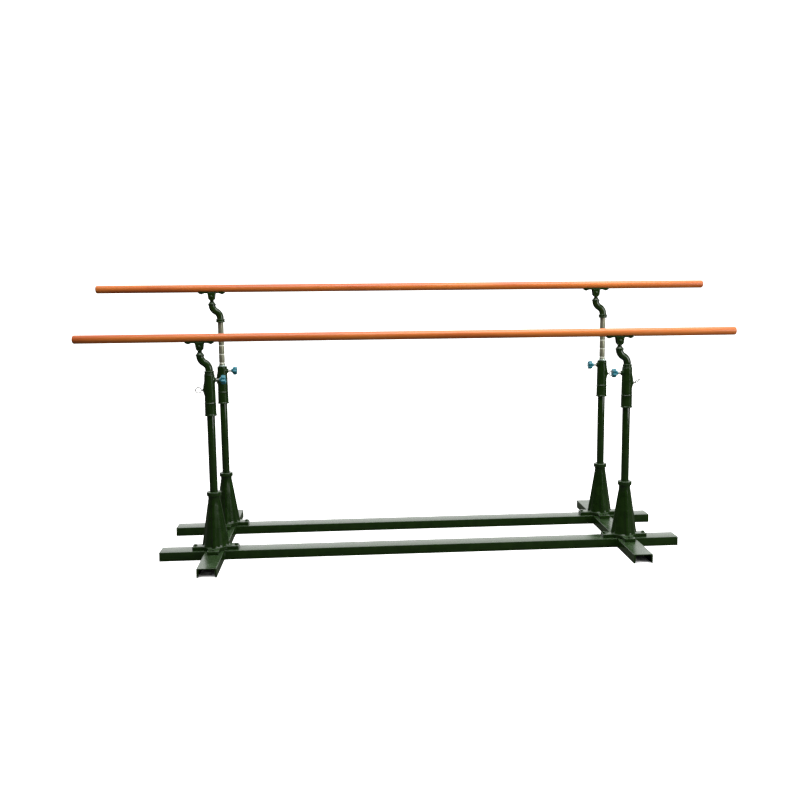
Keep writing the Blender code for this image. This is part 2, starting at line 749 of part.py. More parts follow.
def ring_mesh():
    """Return the wire ring in the XZ plane. Its origin is where it passes through the eye."""
    path = [
        (RING_RADIUS + RING_WIRE_RADIUS * cos(angle), RING_WIRE_RADIUS * sin(angle))
        for angle in (2 * pi * step / RING_WIRE_SIDES for step in range(RING_WIRE_SIDES))
    ]
    torus = turned("pull_ring", path, ROUND_SIDES, hollow=True)
    upright = moved(torus, Matrix.Rotation(pi / 2, 4, "X"))
    return moved(upright, Matrix.Translation((RING_RADIUS, 0, 0)))


# ---------------------------------------------------------------- assembly


def place(name, mesh, material, location=(0, 0, 0), parent=None, rotation=(0, 0, 0)):
    """Add a named object to the scene, relative to its parent."""
    shown = bpy.data.objects.new(name, mesh)
    bpy.context.scene.collection.objects.link(shown)
    if not mesh.materials:
        mesh.materials.append(material)
    shown.location = location
    shown.rotation_euler = rotation
    shown.parent = parent
    return shown


def place_empty(name, location, parent=None, rotation=(0, 0, 0)):
    """Add an empty that carries the pieces of one joint."""
    empty = bpy.data.objects.new(name, None)
    bpy.context.scene.collection.objects.link(empty)
    empty.location = location
    empty.rotation_euler = rotation
    empty.parent = parent
    return empty


def build_frame(materials):
    """Place the two cross feet and the six lengths of the two long beams."""
    enamel = materials["enamel"]
    half_pitch = POST_PITCH_X / 2
    foot = channel_mesh("foot", FOOT_LENGTH)
    middle_length = POST_PITCH_X - CHANNEL_WIDTH - 2 * GAP
    end_length = (BEAM_LENGTH - POST_PITCH_X - CHANNEL_WIDTH) / 2 - GAP
    middle = channel_mesh("beam_middle", middle_length)
    stub = channel_mesh("beam_end", end_length)
    along_beam = (0, 0, pi / 2)
    for side, sign in SIDES.items():
        x = FRAME_CENTRE_X + sign * half_pitch
        place(f"foot_{side}", foot, enamel, (x, 0, 0))
    for row, depth in ROWS.items():
        y = depth * POST_PITCH_Y / 2
        place(f"beam_{row}_middle", middle, enamel, (FRAME_CENTRE_X, y, 0), None, along_beam)
        for side, sign in SIDES.items():
            x = FRAME_CENTRE_X + sign * (half_pitch + CHANNEL_WIDTH / 2 + GAP + end_length / 2)
            place(f"beam_{row}_{side}_end", stub, enamel, (x, y, 0), None, along_beam)


def build_support(row, side, meshes, materials):
    """Place one support, and return the empty at its pivot, which carries the rail."""
    sign = SIDES[side]
    raised = RAISED_NOTCHES[row] * NOTCH_PITCH
    tag = f"{row}_{side}"
    x = FRAME_CENTRE_X + sign * POST_PITCH_X / 2
    foot = place_empty(f"support_{tag}", (x, ROWS[row] * POST_PITCH_Y / 2, 0))
    enamel = materials["enamel"]
    inward = (0, 0, 0) if side == "left" else (0, 0, pi)
    place(f"pedestal_{tag}", meshes["pedestal"], enamel, (0, 0, CHANNEL_HEIGHT + GAP), foot)
    place(f"post_{tag}", meshes["post"], enamel, (0, 0, 0), foot)
    place(f"sleeve_{tag}", meshes["sleeve"], enamel, (0, 0, SLEEVE_FOOT_Z), foot, inward)

    knob_height = SLEEVE_FOOT_Z + KNOB_Z
    pad = place(f"clamp_pad_{tag}", meshes["pad"], materials["bright"], (0, 0, knob_height), foot, inward)
    place(f"knob_{tag}", meshes["knob"], materials["grip"], (0, 0, 0), pad)

    outward = (0, 0, pi) if side == "left" else (0, 0, 0)
    pin_height = SLEEVE_FOOT_Z + PIN_Z
    lifted = (row, side) in RING_LIFTED
    pin_turn = (pi / 2 if lifted else 0, 0, outward[2])
    pin = place(f"pull_pin_{tag}", meshes["pin"], materials["bright"], (0, 0, pin_height), foot, pin_turn)
    ring_turn = (0, 0, LIFTED_RING_TILT) if lifted else (0, 0, 0)
    place(f"pull_ring_{tag}", meshes["ring"], materials["wire"], (PIN_EYE_REACH, 0, 0), pin, ring_turn)

    shoulder = ARM_BASE_Z + ARM_RECESS_DEPTH - GAP
    tube = place(f"inner_tube_{tag}", meshes["tube"], materials["bright"], (0, 0, shoulder + raised), foot)
    arm_drop = ARM_BASE_Z - shoulder
    arm = place(f"arm_{tag}", meshes["arm"], enamel, (0, 0, arm_drop), tube)
    head = place(f"swivel_head_{tag}", meshes["head"], enamel, (-ARM_OFFSET, 0, ARM_HEIGHT), arm)
    pivot = place_empty(f"pivot_{tag}", (0, 0, pivot_above_arm()), head)
    place(f"cross_pin_{tag}", meshes["cross_pin"], materials["bright"], (0, 0, 0), pivot)
    return pivot


def build_rail(row, pivots, meshes, materials):
    """Place a rail and its two saddles on the left pivot, which the rail tilts about."""
    left = pivots[row, "left"]
    enamel = materials["enamel"]
    place(f"rail_{row}", meshes["rail"], materials["rail"], (POST_PITCH_X / 2, 0, PIVOT_BELOW_RAIL), left)
    place(f"saddle_{row}_left", meshes["saddle_left"], enamel, (0, 0, 0), left)
    place(f"saddle_{row}_right", meshes["saddle_right"], enamel, (POST_PITCH_X, 0, 0), left)


def build_meshes():
    """Return every repeated mesh by name."""
    return {
        "pedestal": pedestal_mesh(),
        "post": post_mesh(),
        "sleeve": sleeve_mesh(),
        "pad": pad_mesh(),
        "knob": knob_mesh(),
        "pin": pull_pin_mesh(),
        "ring": ring_mesh(),
        "tube": inner_tube_mesh(),
        "arm": arm_mesh(),
        "head": swivel_head_mesh(),
        "cross_pin": cross_pin_mesh(),
        "saddle_left": saddle_mesh(0.0),
        "saddle_right": saddle_mesh(PIVOT_SLOT),
        "rail": rail_mesh(),
    }


def main():
    """Clear the scene and build the whole apparatus."""
    for old in list(bpy.data.objects):
        bpy.data.objects.remove(old)
    materials = make_materials()
    meshes = build_meshes()
    build_frame(materials)
    pivots = {}
    for row in ROWS:
        for side in SIDES:
            pivots[row, side] = build_support(row, side, meshes, materials)
        build_rail(row, pivots, meshes, materials)


main()
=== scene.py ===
"""Looks of a pair of gymnastics parallel bars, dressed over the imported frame.

Two round rails ride on four telescopic posts. Each post stands in a cast pedestal that is bolted
to a frame of inverted steel channels, and carries a sleeve with a star knob and a pull pin, a
grooved inner tube, an S-shaped arm, a swivel head and a saddle under the rail.

All sizes are in metres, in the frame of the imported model: +X along the rails, +Z up.
"""

import logging
from dataclasses import dataclass, field
from enum import Enum
from math import acos, asin, cos, pi, radians, sin, sqrt, tan
from typing import Any, Callable, Iterable, Sequence

import bmesh
import bpy
from mathutils import Matrix, Vector


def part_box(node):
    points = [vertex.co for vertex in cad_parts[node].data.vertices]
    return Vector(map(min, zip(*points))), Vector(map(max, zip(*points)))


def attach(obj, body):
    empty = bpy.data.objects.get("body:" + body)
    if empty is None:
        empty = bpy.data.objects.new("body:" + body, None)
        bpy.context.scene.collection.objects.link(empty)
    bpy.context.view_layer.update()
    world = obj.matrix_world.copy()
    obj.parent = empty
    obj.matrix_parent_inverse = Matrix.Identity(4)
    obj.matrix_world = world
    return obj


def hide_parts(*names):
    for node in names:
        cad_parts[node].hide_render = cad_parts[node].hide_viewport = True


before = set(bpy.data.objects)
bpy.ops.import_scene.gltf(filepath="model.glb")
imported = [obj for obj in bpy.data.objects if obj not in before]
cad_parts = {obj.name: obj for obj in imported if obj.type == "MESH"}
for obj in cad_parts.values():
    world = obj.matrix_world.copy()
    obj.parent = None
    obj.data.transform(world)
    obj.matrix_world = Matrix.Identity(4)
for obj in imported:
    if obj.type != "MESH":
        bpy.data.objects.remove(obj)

log = logging.getLogger("parallel_bars")

Point2 = tuple[float, float]
Loop = list[Vector]
Colour = tuple[float, float, float]

HERE = Matrix.Identity(4)
GAP = 0.0003  # clearance between neighbouring pieces
SMOOTH_BELOW = radians(34)  # edges flatter than this are shaded smooth
RIM_STEPS = 3  # arc steps round a slab's rim


class Row(Enum):
    """The two rails, named from the lowered one to the raised one."""

    FRONT = "front"
    BACK = "back"


class End(Enum):
    """The two ends of a rail."""

    LEFT = "left"
    RIGHT = "right"


class Slot(Enum):
    """Material slots of the record."""

    FRAME = "frame_enamel"
    CASTING = "casting_enamel"
    RAIL = "rail_varnish"
    BRIGHT = "bright_steel"
    GRIP = "knob_plastic"
    WIRE = "wire_steel"


# ---------------------------------------------------------------- outlines


def arc_corner(before: Vector, corner: Vector, after: Vector, radius: float, steps: int) -> Loop:
    """Round one corner of a line.

    Args:
        before: The point before the corner.
        corner: The corner itself.
        after: The point after the corner.
        radius: Wanted radius; it is cut down where the sides are short.
        steps: Number of arc steps.

    Returns:
        The points that take the corner's place.
    """
    back, ahead = before - corner, after - corner
    cosine = max(-1.0, min(1.0, back.normalized().dot(ahead.normalized())))
    half = acos(cosine) / 2
    if radius <= 0 or half > pi / 2 - 0.02 or half < 0.02:
        return [corner]
    cut = min(radius / tan(half), 0.48 * back.length, 0.48 * ahead.length)
    start, end = corner + back.normalized() * cut, corner + ahead.normalized() * cut
    bisector = (back.normalized() + ahead.normalized()).normalized()
    centre = corner + bisector * (cut / cos(half))
    spoke, last = start - centre, end - centre
    turn = spoke.angle_signed(last)
    made = []
    for step in range(steps + 1):
        angle = -turn * step / steps
        c, s = cos(angle), sin(angle)
        made.append(centre + Vector((spoke.x * c - spoke.y * s, spoke.x * s + spoke.y * c)))
    return made


def rounded(
    points: Sequence[Point2], radius: float | Sequence[float], steps: int = 4, closed: bool = False
) -> list[Point2]:
    """Return a flat line with its corners turned into arcs.

    Args:
        points: Corners of the line.
        radius: One radius for all corners, or one for each.
        steps: Arc steps per corner.
        closed: Whether the last point joins the first.

    Returns:
        The points of the rounded line.
    """
    corners = [Vector(point) for point in points]
    radii = [radius] * len(corners) if isinstance(radius, (int, float)) else list(radius)
    made: list[Vector] = []
    for index, corner in enumerate(corners):
        if not closed and index in (0, len(corners) - 1):
            made.append(corner)
            continue
        before, after = corners[index - 1], corners[(index + 1) % len(corners)]
        made += arc_corner(before, corner, after, radii[index], steps)
    return [(point.x, point.y) for point in made]


def inset(outline: Sequence[Point2], depth: float) -> list[Point2]:
    """Return a counter-clockwise outline moved inwards by a depth.

    Args:
        outline: The outline's corners.
        depth: How far inwards.

    Returns:
        The moved corners.
    """
    count = len(outline)
    made = []
    for index in range(count):
        here = Vector(outline[index])
        along = (here - Vector(outline[index - 1])).normalized()
        onward = (Vector(outline[(index + 1) % count]) - here).normalized()
        left, right = Vector((-along.y, along.x)), Vector((-onward.y, onward.x))
        step = (left + right) / max(0.3, 1 + left.dot(right))
        made.append(tuple(here + step * depth))
    return made


def hump(value: float, half_width: float, flat: float = 0.0) -> float:
    """Return a smooth bump of height one: level out to flat, nothing beyond half_width."""
    distance = min(1.0, max(0.0, (abs(value) - flat) / max(1e-9, half_width - flat)))
    return 0.5 + 0.5 * cos(pi * distance)


def even_turns(count: int) -> list[float]:
    """Return the angles that share a full turn evenly."""
    return [2 * pi * step / count for step in range(count)]


def level_circle(radius: float, z: float, turns: Sequence[float]) -> Loop:
    """Return a level circle about Z, with a point at each angle."""
    return [Vector((radius * cos(turn), radius * sin(turn), z)) for turn in turns]


# ---------------------------------------------------------------- meshes


class Stock:
    """A mesh being made out of closed shells."""

    def __init__(self) -> None:
        """Start with no shells."""
        self.mesh = bmesh.new()

    def loft(self, loops: Sequence[Iterable[Vector]], place: Matrix = HERE, ring: bool = False) -> "Stock":
        """Skin a run of loops that have the same number of points.

        Args:
            loops: The loops, in order.
            place: Where the shell goes.
            ring: Whether the last loop joins the first, which leaves no end faces.

        Returns:
            The stock itself.
        """
        rings = [[self.mesh.verts.new(place @ Vector(point)) for point in loop] for loop in loops]
        pairs = list(zip(rings, rings[1:]))
        if ring:
            pairs.append((rings[-1], rings[0]))
        faces = []
        for lower, upper in pairs:
            count = len(lower)
            for index in range(count):
                other = (index + 1) % count
                faces.append(self.mesh.faces.new((lower[index], lower[other], upper[other], upper[index])))
        if not ring:
            faces.append(self.mesh.faces.new(list(reversed(rings[0]))))
            faces.append(self.mesh.faces.new(rings[-1]))
        bmesh.ops.recalc_face_normals(self.mesh, faces=faces)
        return self

    def turn(
        self, profile: Sequence[Point2], place: Matrix = HERE, sides: int = 48, ring: bool = False
    ) -> "Stock":
        """Turn a profile of (radius, height) points about Z.

        Args:
            profile: The profile; its ends are closed by flat faces unless ring is set.
            place: Where the shell goes.
            sides: Number of sides.
            ring: Whether the profile is itself a closed line, as of a tube's wall.

        Returns:
            The stock itself.
        """
        turns = even_turns(sides)
        return self.loft([level_circle(radius, height, turns) for radius, height in profile], place, ring)

    def slab(
        self, outline: Sequence[Point2], low: float, high: float, edge: float = 0.0, place: Matrix = HERE
    ) -> "Stock":
        """Stand a counter-clockwise outline up along Z, with rounded rims.

        Args:
            outline: The outline in the XY plane.
            low: Height of the lower face.
            high: Height of the upper face.
            edge: Radius of both rims.
            place: Where the shell goes.

        Returns:
            The stock itself.
        """
        turns = [pi / 2 * step / RIM_STEPS for step in range(RIM_STEPS if edge else 0)]
        lower = [(edge * (1 - sin(turn)), low + edge * (1 - cos(turn))) for turn in turns]
        upper = [(depth, high - (height - low)) for depth, height in reversed(lower)]
        levels = [*lower, (0.0, low + edge), (0.0, high - edge), *upper]
        loops = []
        for depth, height in levels:
            loops.append([Vector((x, y, height)) for x, y in inset(outline, depth)])
        return self.loft(loops, place)

    def sweep(
        self,
        path: Sequence[Vector],
        radii: float | Sequence[float],
        sides: int = 16,
        place: Matrix = HERE,
        ring: bool = False,
    ) -> "Stock":
        """Run a circle along a path.

        Args:
            path: Points of the path.
            radii: One radius, or one for each point.
            sides: Sides of the circle.
            place: Where the shell goes.
            ring: Whether the path is closed.

        Returns:
            The stock itself.
        """
        count = len(path)
        sizes = [radii] * count if isinstance(radii, (int, float)) else list(radii)
        normal = Vector((0, 1, 0))
        turns = even_turns(sides)
        loops = []
        for index, point in enumerate(path):
            behind = path[index - 1] if ring or index else point
            ahead = path[(index + 1) % count] if ring or index < count - 1 else point
            along = (ahead - behind).normalized()
            normal = normal - along * normal.dot(along)
            if normal.length < 1e-6:
                normal = along.orthogonal()
            normal.normalize()
            across = along.cross(normal)
            loops.append([point + (normal * cos(t) + across * sin(t)) * sizes[index] for t in turns])
        return self.loft(loops, place, ring)

    def finished(self, name: str) -> bpy.types.Mesh:
        """Return the mesh, with flat edges kept sharp and the rest smooth.

        Args:
            name: The mesh's name.

        Returns:
            The mesh. The stock is used up.
        """
        bmesh.ops.dissolve_degenerate(self.mesh, edges=self.mesh.edges, dist=1e-7)
        mesh = bpy.data.meshes.new(name)
        self.mesh.to_mesh(mesh)
        self.mesh.free()
        mesh.shade_smooth()
        mesh.set_sharp_from_angle(angle=SMOOTH_BELOW)
        return mesh


def move(x: float = 0.0, y: float = 0.0, z: float = 0.0) -> Matrix:
    """Return a shift."""
    return Matrix.Translation((x, y, z))


def spin(angle: float, axis: str) -> Matrix:
    """Return a turn about an axis through the origin."""
    return Matrix.Rotation(angle, 4, axis)


TO_X = spin(pi / 2, "Y")  # lays a turned shell's Z axis along +X


def middle_of(node: str) -> Vector:
    """Return the centre of a CAD node's box."""
    low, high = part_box(node)
    return (low + high) / 2


# ---------------------------------------------------------------- shader groups


@dataclass
class Wiring:
    """One node tree and short ways to add to it."""

    tree: bpy.types.NodeTree

    def node(self, kind: str, inputs: dict[Any, Any] | None = None, **settings: Any) -> bpy.types.Node:
        """Add a node.

        Args:
            kind: The node's type name.
            inputs: Values or sockets for its inputs, by name or number.
            settings: Properties of the node.

        Returns:
            The node.
        """
        made = self.tree.nodes.new(kind)
        for name, value in settings.items():
            setattr(made, name, value)
        for key, value in (inputs or {}).items():
            self.feed(made.inputs[key], value)
        return made

    def feed(self, socket: bpy.types.NodeSocket, value: Any) -> None:
        """Join a socket to another socket, or give it a value.

        Args:
            socket: The input.
            value: A socket to join, or a plain value.
        """
        if isinstance(value, bpy.types.NodeSocket):
            self.tree.links.new(value, socket)
        else:
            socket.default_value = value

    def maths(self, operation: str, *values: Any) -> bpy.types.NodeSocket:
        """Return the result of a Math node."""
        made = self.node("ShaderNodeMath", dict(enumerate(values)), operation=operation)
        return made.outputs[0]

    def blend(self, factor: Any, first: Any, second: Any) -> bpy.types.NodeSocket:
        """Return a colour between two colours.

        Args:
            factor: Share of the second colour.
            first: The first colour.
            second: The second colour.

        Returns:
            The blended colour's socket.
        """
        made = self.node("ShaderNodeMix", data_type="RGBA")
        for socket, value in zip((made.inputs[0], made.inputs[6], made.inputs[7]), (factor, first, second)):
            self.feed(socket, value)
        return made.outputs[2]

    def band(self, value: Any, low: float, high: float, to_low: float = 0.0, to_high: float = 1.0) -> Any:
        """Return a value mapped smoothly from low..high to to_low..to_high."""
        inputs = {0: value, 1: low, 2: high, 3: to_low, 4: to_high}
        return self.node("ShaderNodeMapRange", inputs, interpolation_type="SMOOTHSTEP").outputs[0]

    def noise(self, vector: Any, scale: Any, detail: float = 2.0, roughness: float = 0.5) -> Any:
        """Return the value of a noise texture."""
        inputs = {"Vector": vector, "Scale": scale, "Detail": detail, "Roughness": roughness}
        return self.node("ShaderNodeTexNoise", inputs).outputs[0]

    def place(self, stretch: Any = (1.0, 1.0, 1.0)) -> bpy.types.NodeSocket:
        """Return object coordinates, stretched along the axes.

        Args:
            stretch: Factor along each axis.

        Returns:
            The coordinates' socket.
        """
        coordinates = self.node("ShaderNodeTexCoord").outputs["Object"]
        inputs = {0: coordinates, 1: stretch}
        return self.node("ShaderNodeVectorMath", inputs, operation="MULTIPLY").outputs[0]


@dataclass(frozen=True)
class EffectGroup:
    """A shader node group with named inputs and outputs."""

    name: str
    inputs: dict[str, float]
    outputs: tuple[str, ...]
    fill: Callable[[Wiring, dict[str, Any]], dict[str, Any]]

    def build(self) -> bpy.types.NodeTree:
        """Return the group's tree, making it the first time.

        Returns:
            The tree.
        """
        ready = bpy.data.node_groups.get(self.name)
        if ready:
            return ready
        tree = bpy.data.node_groups.new(self.name, "ShaderNodeTree")
        for name, value in self.inputs.items():
            socket = tree.interface.new_socket(name, in_out="INPUT", socket_type="NodeSocketFloat")
            socket.default_value = value
        for name in self.outputs:
            tree.interface.new_socket(name, in_out="OUTPUT", socket_type="NodeSocketFloat")
        wiring = Wiring(tree)
        entry = wiring.node("NodeGroupInput")
        given = {name: entry.outputs[name] for name in self.inputs}
        wiring.node("NodeGroupOutput", self.fill(wiring, given))
        return tree

    def use(self, wiring: Wiring, **values: float) -> bpy.types.Node:
        """Return the group placed in a material, with its own values.

        Args:
            wiring: The material's node tree.
            values: Values of the group's inputs, by name.

        Returns:
            The group's node.
        """
        made = wiring.node("ShaderNodeGroup", node_tree=self.build())
        for name, value in values.items():
            made.inputs[name.replace("_", " ").capitalize()].default_value = value
        return made


def fill_film(wiring: Wiring, given: dict[str, Any]) -> dict[str, Any]:
    """Make the small dimples and slow flow of a sprayed film.

    Args:
        wiring: The node tree to add to.
        given: The group's input sockets, by name.

    Returns:
        The sockets for the group's outputs, by name.
    """
    place = wiring.place()
    dimples = wiring.noise(place, given["Dimple scale"], 2.0, 0.55)
    flow = wiring.noise(place, given["Flow scale"], 1.0, 0.4)
    height = wiring.maths("ADD", wiring.maths("MULTIPLY", dimples, given["Dimple weight"]), flow)
    return {"Height": height, "Tone": wiring.band(flow, 0.3, 0.7)}


def fill_dust_and_sheen(wiring: Wiring, given: dict[str, Any]) -> dict[str, Any]:
    """Make a mask of faces that look up, where fine dust settles and where a painted sheen of the pale
    surroundings lightens the paint.

    Args:
        wiring: The node tree to add to.
        given: The group's input sockets, by name.

    Returns:
        The sockets for the group's outputs, by name.
    """
    facing = wiring.node("ShaderNodeSeparateXYZ", {0: wiring.node("ShaderNodeNewGeometry").outputs["Normal"]})
    upward = wiring.band(facing.outputs["Z"], 0.55, 0.98)
    place = wiring.place()
    cloud = wiring.band(wiring.noise(place, given["Scale"], 4.0, 0.6), 0.35, 0.75, 0.35, 1.0)
    specks = wiring.band(wiring.noise(place, 420.0, 1.0), 0.70, 0.78)
    amount = wiring.maths("MAXIMUM", cloud, specks)
    mask = wiring.maths("MULTIPLY", wiring.maths("MULTIPLY", upward, amount), given["Amount"])
    return {"Mask": mask}


def fill_scuffs(wiring: Wiring, given: dict[str, Any]) -> dict[str, Any]:
    """Make a mask of small chips and rub marks, denser near a height above the floor.

    Args:
        wiring: The node tree to add to.
        given: The group's input sockets, by name.

    Returns:
        The sockets for the group's outputs, by name.
    """
    place = wiring.place()
    fine = wiring.noise(place, given["Scale"], 5.0, 0.65)
    height = wiring.node("ShaderNodeSeparateXYZ", {0: place}).outputs["Z"]
    low_down = wiring.band(height, 0.0, 0.006, 1.0, 0.0)
    limit = wiring.maths("SUBTRACT", given["Limit"], wiring.maths("MULTIPLY", low_down, given["Floor wear"]))
    mask = wiring.band(wiring.maths("SUBTRACT", fine, limit), 0.0, 0.025)
    return {"Mask": mask}


def fill_streaks(wiring: Wiring, given: dict[str, Any]) -> dict[str, Any]:
    """Make lines drawn out along one axis, as of grain or a drawn surface.

    Args:
        wiring: The node tree to add to.
        given: The group's input sockets, by name.

    Returns:
        The sockets for the group's outputs, by name.
    """
    along = {0: given["Along x"], 1: given["Along y"], 2: given["Along z"]}
    place = wiring.place(wiring.node("ShaderNodeCombineXYZ", along).outputs[0])
    coarse = wiring.noise(place, 1.0, 3.0, 0.6)
    fine = wiring.noise(place, 5.5, 2.0, 0.6)
    mixed = wiring.maths("ADD", wiring.maths("MULTIPLY", coarse, 0.65), wiring.maths("MULTIPLY", fine, 0.35))
    return {"Height": fine, "Tone": wiring.band(mixed, 0.34, 0.66)}


FILM = EffectGroup(
    "paint_film",
    {"Dimple scale": 420.0, "Flow scale": 26.0, "Dimple weight": 0.4},
    ("Height", "Tone"),
    fill_film,
)
# Mask of faces that look up: for settled dust, and for a painted sheen on those faces.
DUST_AND_SHEEN = EffectGroup("settled_dust_and_sheen", {"Scale": 18.0, "Amount": 0.3}, ("Mask",), fill_dust_and_sheen)
SCUFFS = EffectGroup("scuffs", {"Scale": 120.0, "Limit": 0.7, "Floor wear": 0.1}, ("Mask",), fill_scuffs)
STREAKS = EffectGroup(
    "drawn_streaks",
    {"Along x": 1.0, "Along y": 1.0, "Along z": 1.0},
    ("Height", "Tone"),
    fill_streaks,
)


# ---------------------------------------------------------------- finishes


def opaque(colour: Colour) -> tuple[float, float, float, float]:
    """Return a colour with full alpha."""
    return (*colour, 1.0)


def new_material(name: str) -> tuple[bpy.types.Material, Wiring, bpy.types.Node]:
    """Return a new material, its wiring and its Principled node.

    Args:
        name: The material's name.

    Returns:
        The material, its wiring and its shader node.
    """
    material = bpy.data.materials.new(name)
    material.use_nodes = True
    wiring = Wiring(material.node_tree)
    return material, wiring, material.node_tree.nodes["Principled BSDF"]


def press_bump(wiring: Wiring, shader: bpy.types.Node, height: Any, strength: float, depth: float) -> None:
    """Feed a height through a Bump node into a shader's normal."""
    bump = wiring.node("ShaderNodeBump", {"Strength": strength, "Distance": depth, "Height": height})
    wiring.feed(shader.inputs["Normal"], bump.outputs[0])


@dataclass(frozen=True)
class Enamel:
    """Gloss paint on steel or on a casting."""

    name: str
    colour: Colour
    deep: Colour
    # Pale green, both for dust and for a painted sheen that lightens faces looking up.
    dust_sheen_colour: Colour = (0.15, 0.24, 0.13)
    bare: Colour = (0.075, 0.07, 0.06)
    roughness: float = 0.16
    ior: float = 1.45
    dimple_scale: float = 420.0
    dimple_weight: float = 0.35
    bump: float = 0.3
    bump_depth: float = 0.0004
    dust_sheen: float = 0.22
    dust_dulls: float = 0.55
    flow_dulls: float = 0.05
    chip_limit: float = 0.73
    chip_dulls: float = 0.45
    chip_depth: float = 0.8
    floor_wear: float = 0.16

    def material(self) -> bpy.types.Material:
        """Return the material.

        Returns:
            The material.
        """
        made, wiring, shader = new_material(self.name)
        film = FILM.use(wiring, dimple_scale=self.dimple_scale, dimple_weight=self.dimple_weight)
        dust_sheen = DUST_AND_SHEEN.use(wiring, amount=self.dust_sheen)
        chips = SCUFFS.use(wiring, limit=self.chip_limit, floor_wear=self.floor_wear)
        paint = wiring.blend(film.outputs["Tone"], opaque(self.deep), opaque(self.colour))
        # Painted sheen: faces that look up are blended towards a pale green, partly settled dust and partly a
        # painted reflection of the pale surroundings.
        dusty_sheened = wiring.blend(dust_sheen.outputs["Mask"], paint, opaque(self.dust_sheen_colour))
        chipped = chips.outputs["Mask"]
        wiring.feed(shader.inputs["Base Color"], wiring.blend(chipped, dusty_sheened, opaque(self.bare)))
        worn = wiring.maths("MULTIPLY", chipped, self.chip_dulls)
        dull = wiring.maths("MULTIPLY", dust_sheen.outputs["Mask"], self.dust_dulls)
        tone = wiring.maths("MULTIPLY", film.outputs["Tone"], self.flow_dulls)
        rough = wiring.maths("ADD", wiring.maths("ADD", dull, worn), tone)
        wiring.feed(shader.inputs["Roughness"], wiring.maths("ADD", rough, self.roughness))
        sunk = wiring.maths("MULTIPLY", chipped, self.chip_depth)
        height = wiring.maths("SUBTRACT", film.outputs["Height"], sunk)
        press_bump(wiring, shader, height, self.bump, self.bump_depth)
        shader.inputs["IOR"].default_value = self.ior
        return made


@dataclass(frozen=True)
class RailSkin:
    """Orange coat over a laminated rail, with faint lengthwise grain and hand wear."""

    name: str
    colour: Colour = (0.75, 0.210, 0.036)
    deep: Colour = (0.57, 0.120, 0.022)
    rubbed: Colour = (0.80, 0.30, 0.10)

    def material(self) -> bpy.types.Material:
        """Return the material.

        Returns:
            The material.
        """
        made, wiring, shader = new_material(self.name)
        grain = STREAKS.use(wiring, along_x=3.0, along_y=150.0, along_z=150.0)
        broad = wiring.noise(wiring.place((1.3, 14.0, 14.0)), 1.0, 3.0)
        wear = wiring.band(wiring.noise(wiring.place((5.0, 30.0, 30.0)), 1.0, 5.0, 0.7), 0.56, 0.76)
        base = wiring.blend(wiring.band(broad, 0.36, 0.6), opaque(self.deep), opaque(self.colour))
        grain_tone = wiring.maths("MULTIPLY", grain.outputs["Tone"], 0.28)
        lined = wiring.blend(grain_tone, base, opaque(self.deep))
        rubbed = wiring.maths("MULTIPLY", wear, 0.4)
        wiring.feed(shader.inputs["Base Color"], wiring.blend(rubbed, lined, opaque(self.rubbed)))
        wiring.feed(shader.inputs["Roughness"], wiring.band(wear, 0.0, 1.0, 0.36, 0.5))
        press_bump(wiring, shader, grain.outputs["Height"], 0.16, 0.0003)
        shader.inputs["Coat Roughness"].default_value = 0.22
        wiring.feed(shader.inputs["Coat Weight"], wiring.band(wear, 0.0, 1.0, 0.2, 0.05))
        return made


@dataclass(frozen=True)
class Steel:
    """Bare or plated steel, drawn along one axis, with tarnish in patches."""

    name: str
    colour: Colour
    tarnish: Colour
    roughness: float = 0.3
    stretch: tuple[float, float, float] = (900.0, 900.0, 40.0)
    tarnish_amount: float = 0.5
    metallic: float = 1.0

    def material(self) -> bpy.types.Material:
        """Return the material.

        Returns:
            The material.
        """
        made, wiring, shader = new_material(self.name)
        x, y, z = self.stretch
        lines = STREAKS.use(wiring, along_x=x, along_y=y, along_z=z)
        patches = wiring.band(wiring.noise(wiring.place(), 55.0, 5.0, 0.65), 0.46, 0.68)
        spots = wiring.band(wiring.noise(wiring.place(), 480.0, 3.0, 0.6), 0.6, 0.72)
        dirt = wiring.maths("MAXIMUM", wiring.maths("MULTIPLY", patches, self.tarnish_amount), spots)
        dirt = wiring.maths("MULTIPLY", dirt, 0.75)
        base = wiring.blend(dirt, opaque(self.colour), opaque(self.tarnish))
        shade = wiring.maths("MULTIPLY", lines.outputs["Tone"], 0.22)
        wiring.feed(shader.inputs["Base Color"], wiring.blend(shade, base, opaque(self.tarnish)))
        rough = wiring.maths("ADD", wiring.maths("MULTIPLY", dirt, 0.25), self.roughness)
        grooved = wiring.maths("MULTIPLY", lines.outputs["Tone"], 0.12)
        wiring.feed(shader.inputs["Roughness"], wiring.maths("ADD", rough, grooved))
        shader.inputs["Metallic"].default_value = self.metallic
        press_bump(wiring, shader, lines.outputs["Height"], 0.25, 0.00008)
        return made


@dataclass(frozen=True)
class MouldedPlastic:
    """Coloured moulding with a fine grained skin and rubbed spots."""

    name: str
    colour: Colour
    pale: Colour

    def material(self) -> bpy.types.Material:
        """Return the material.

        Returns:
            The material.
        """
        made, wiring, shader = new_material(self.name)
        film = FILM.use(wiring, dimple_scale=1500.0, dimple_weight=0.8)
        rub = SCUFFS.use(wiring, scale=260.0, limit=0.64, floor_wear=0.0)
        base = wiring.blend(
            wiring.maths("MULTIPLY", film.outputs["Tone"], 0.5), opaque(self.colour), opaque(self.pale)
        )
        worn = wiring.maths("MULTIPLY", rub.outputs["Mask"], 0.35)
        wiring.feed(shader.inputs["Base Color"], wiring.blend(worn, base, opaque(self.pale)))
        wiring.feed(shader.inputs["Roughness"], wiring.band(film.outputs["Height"], 0.2, 1.4, 0.2, 0.36))
        press_bump(wiring, shader, film.outputs["Height"], 0.2, 0.00015)
        return made


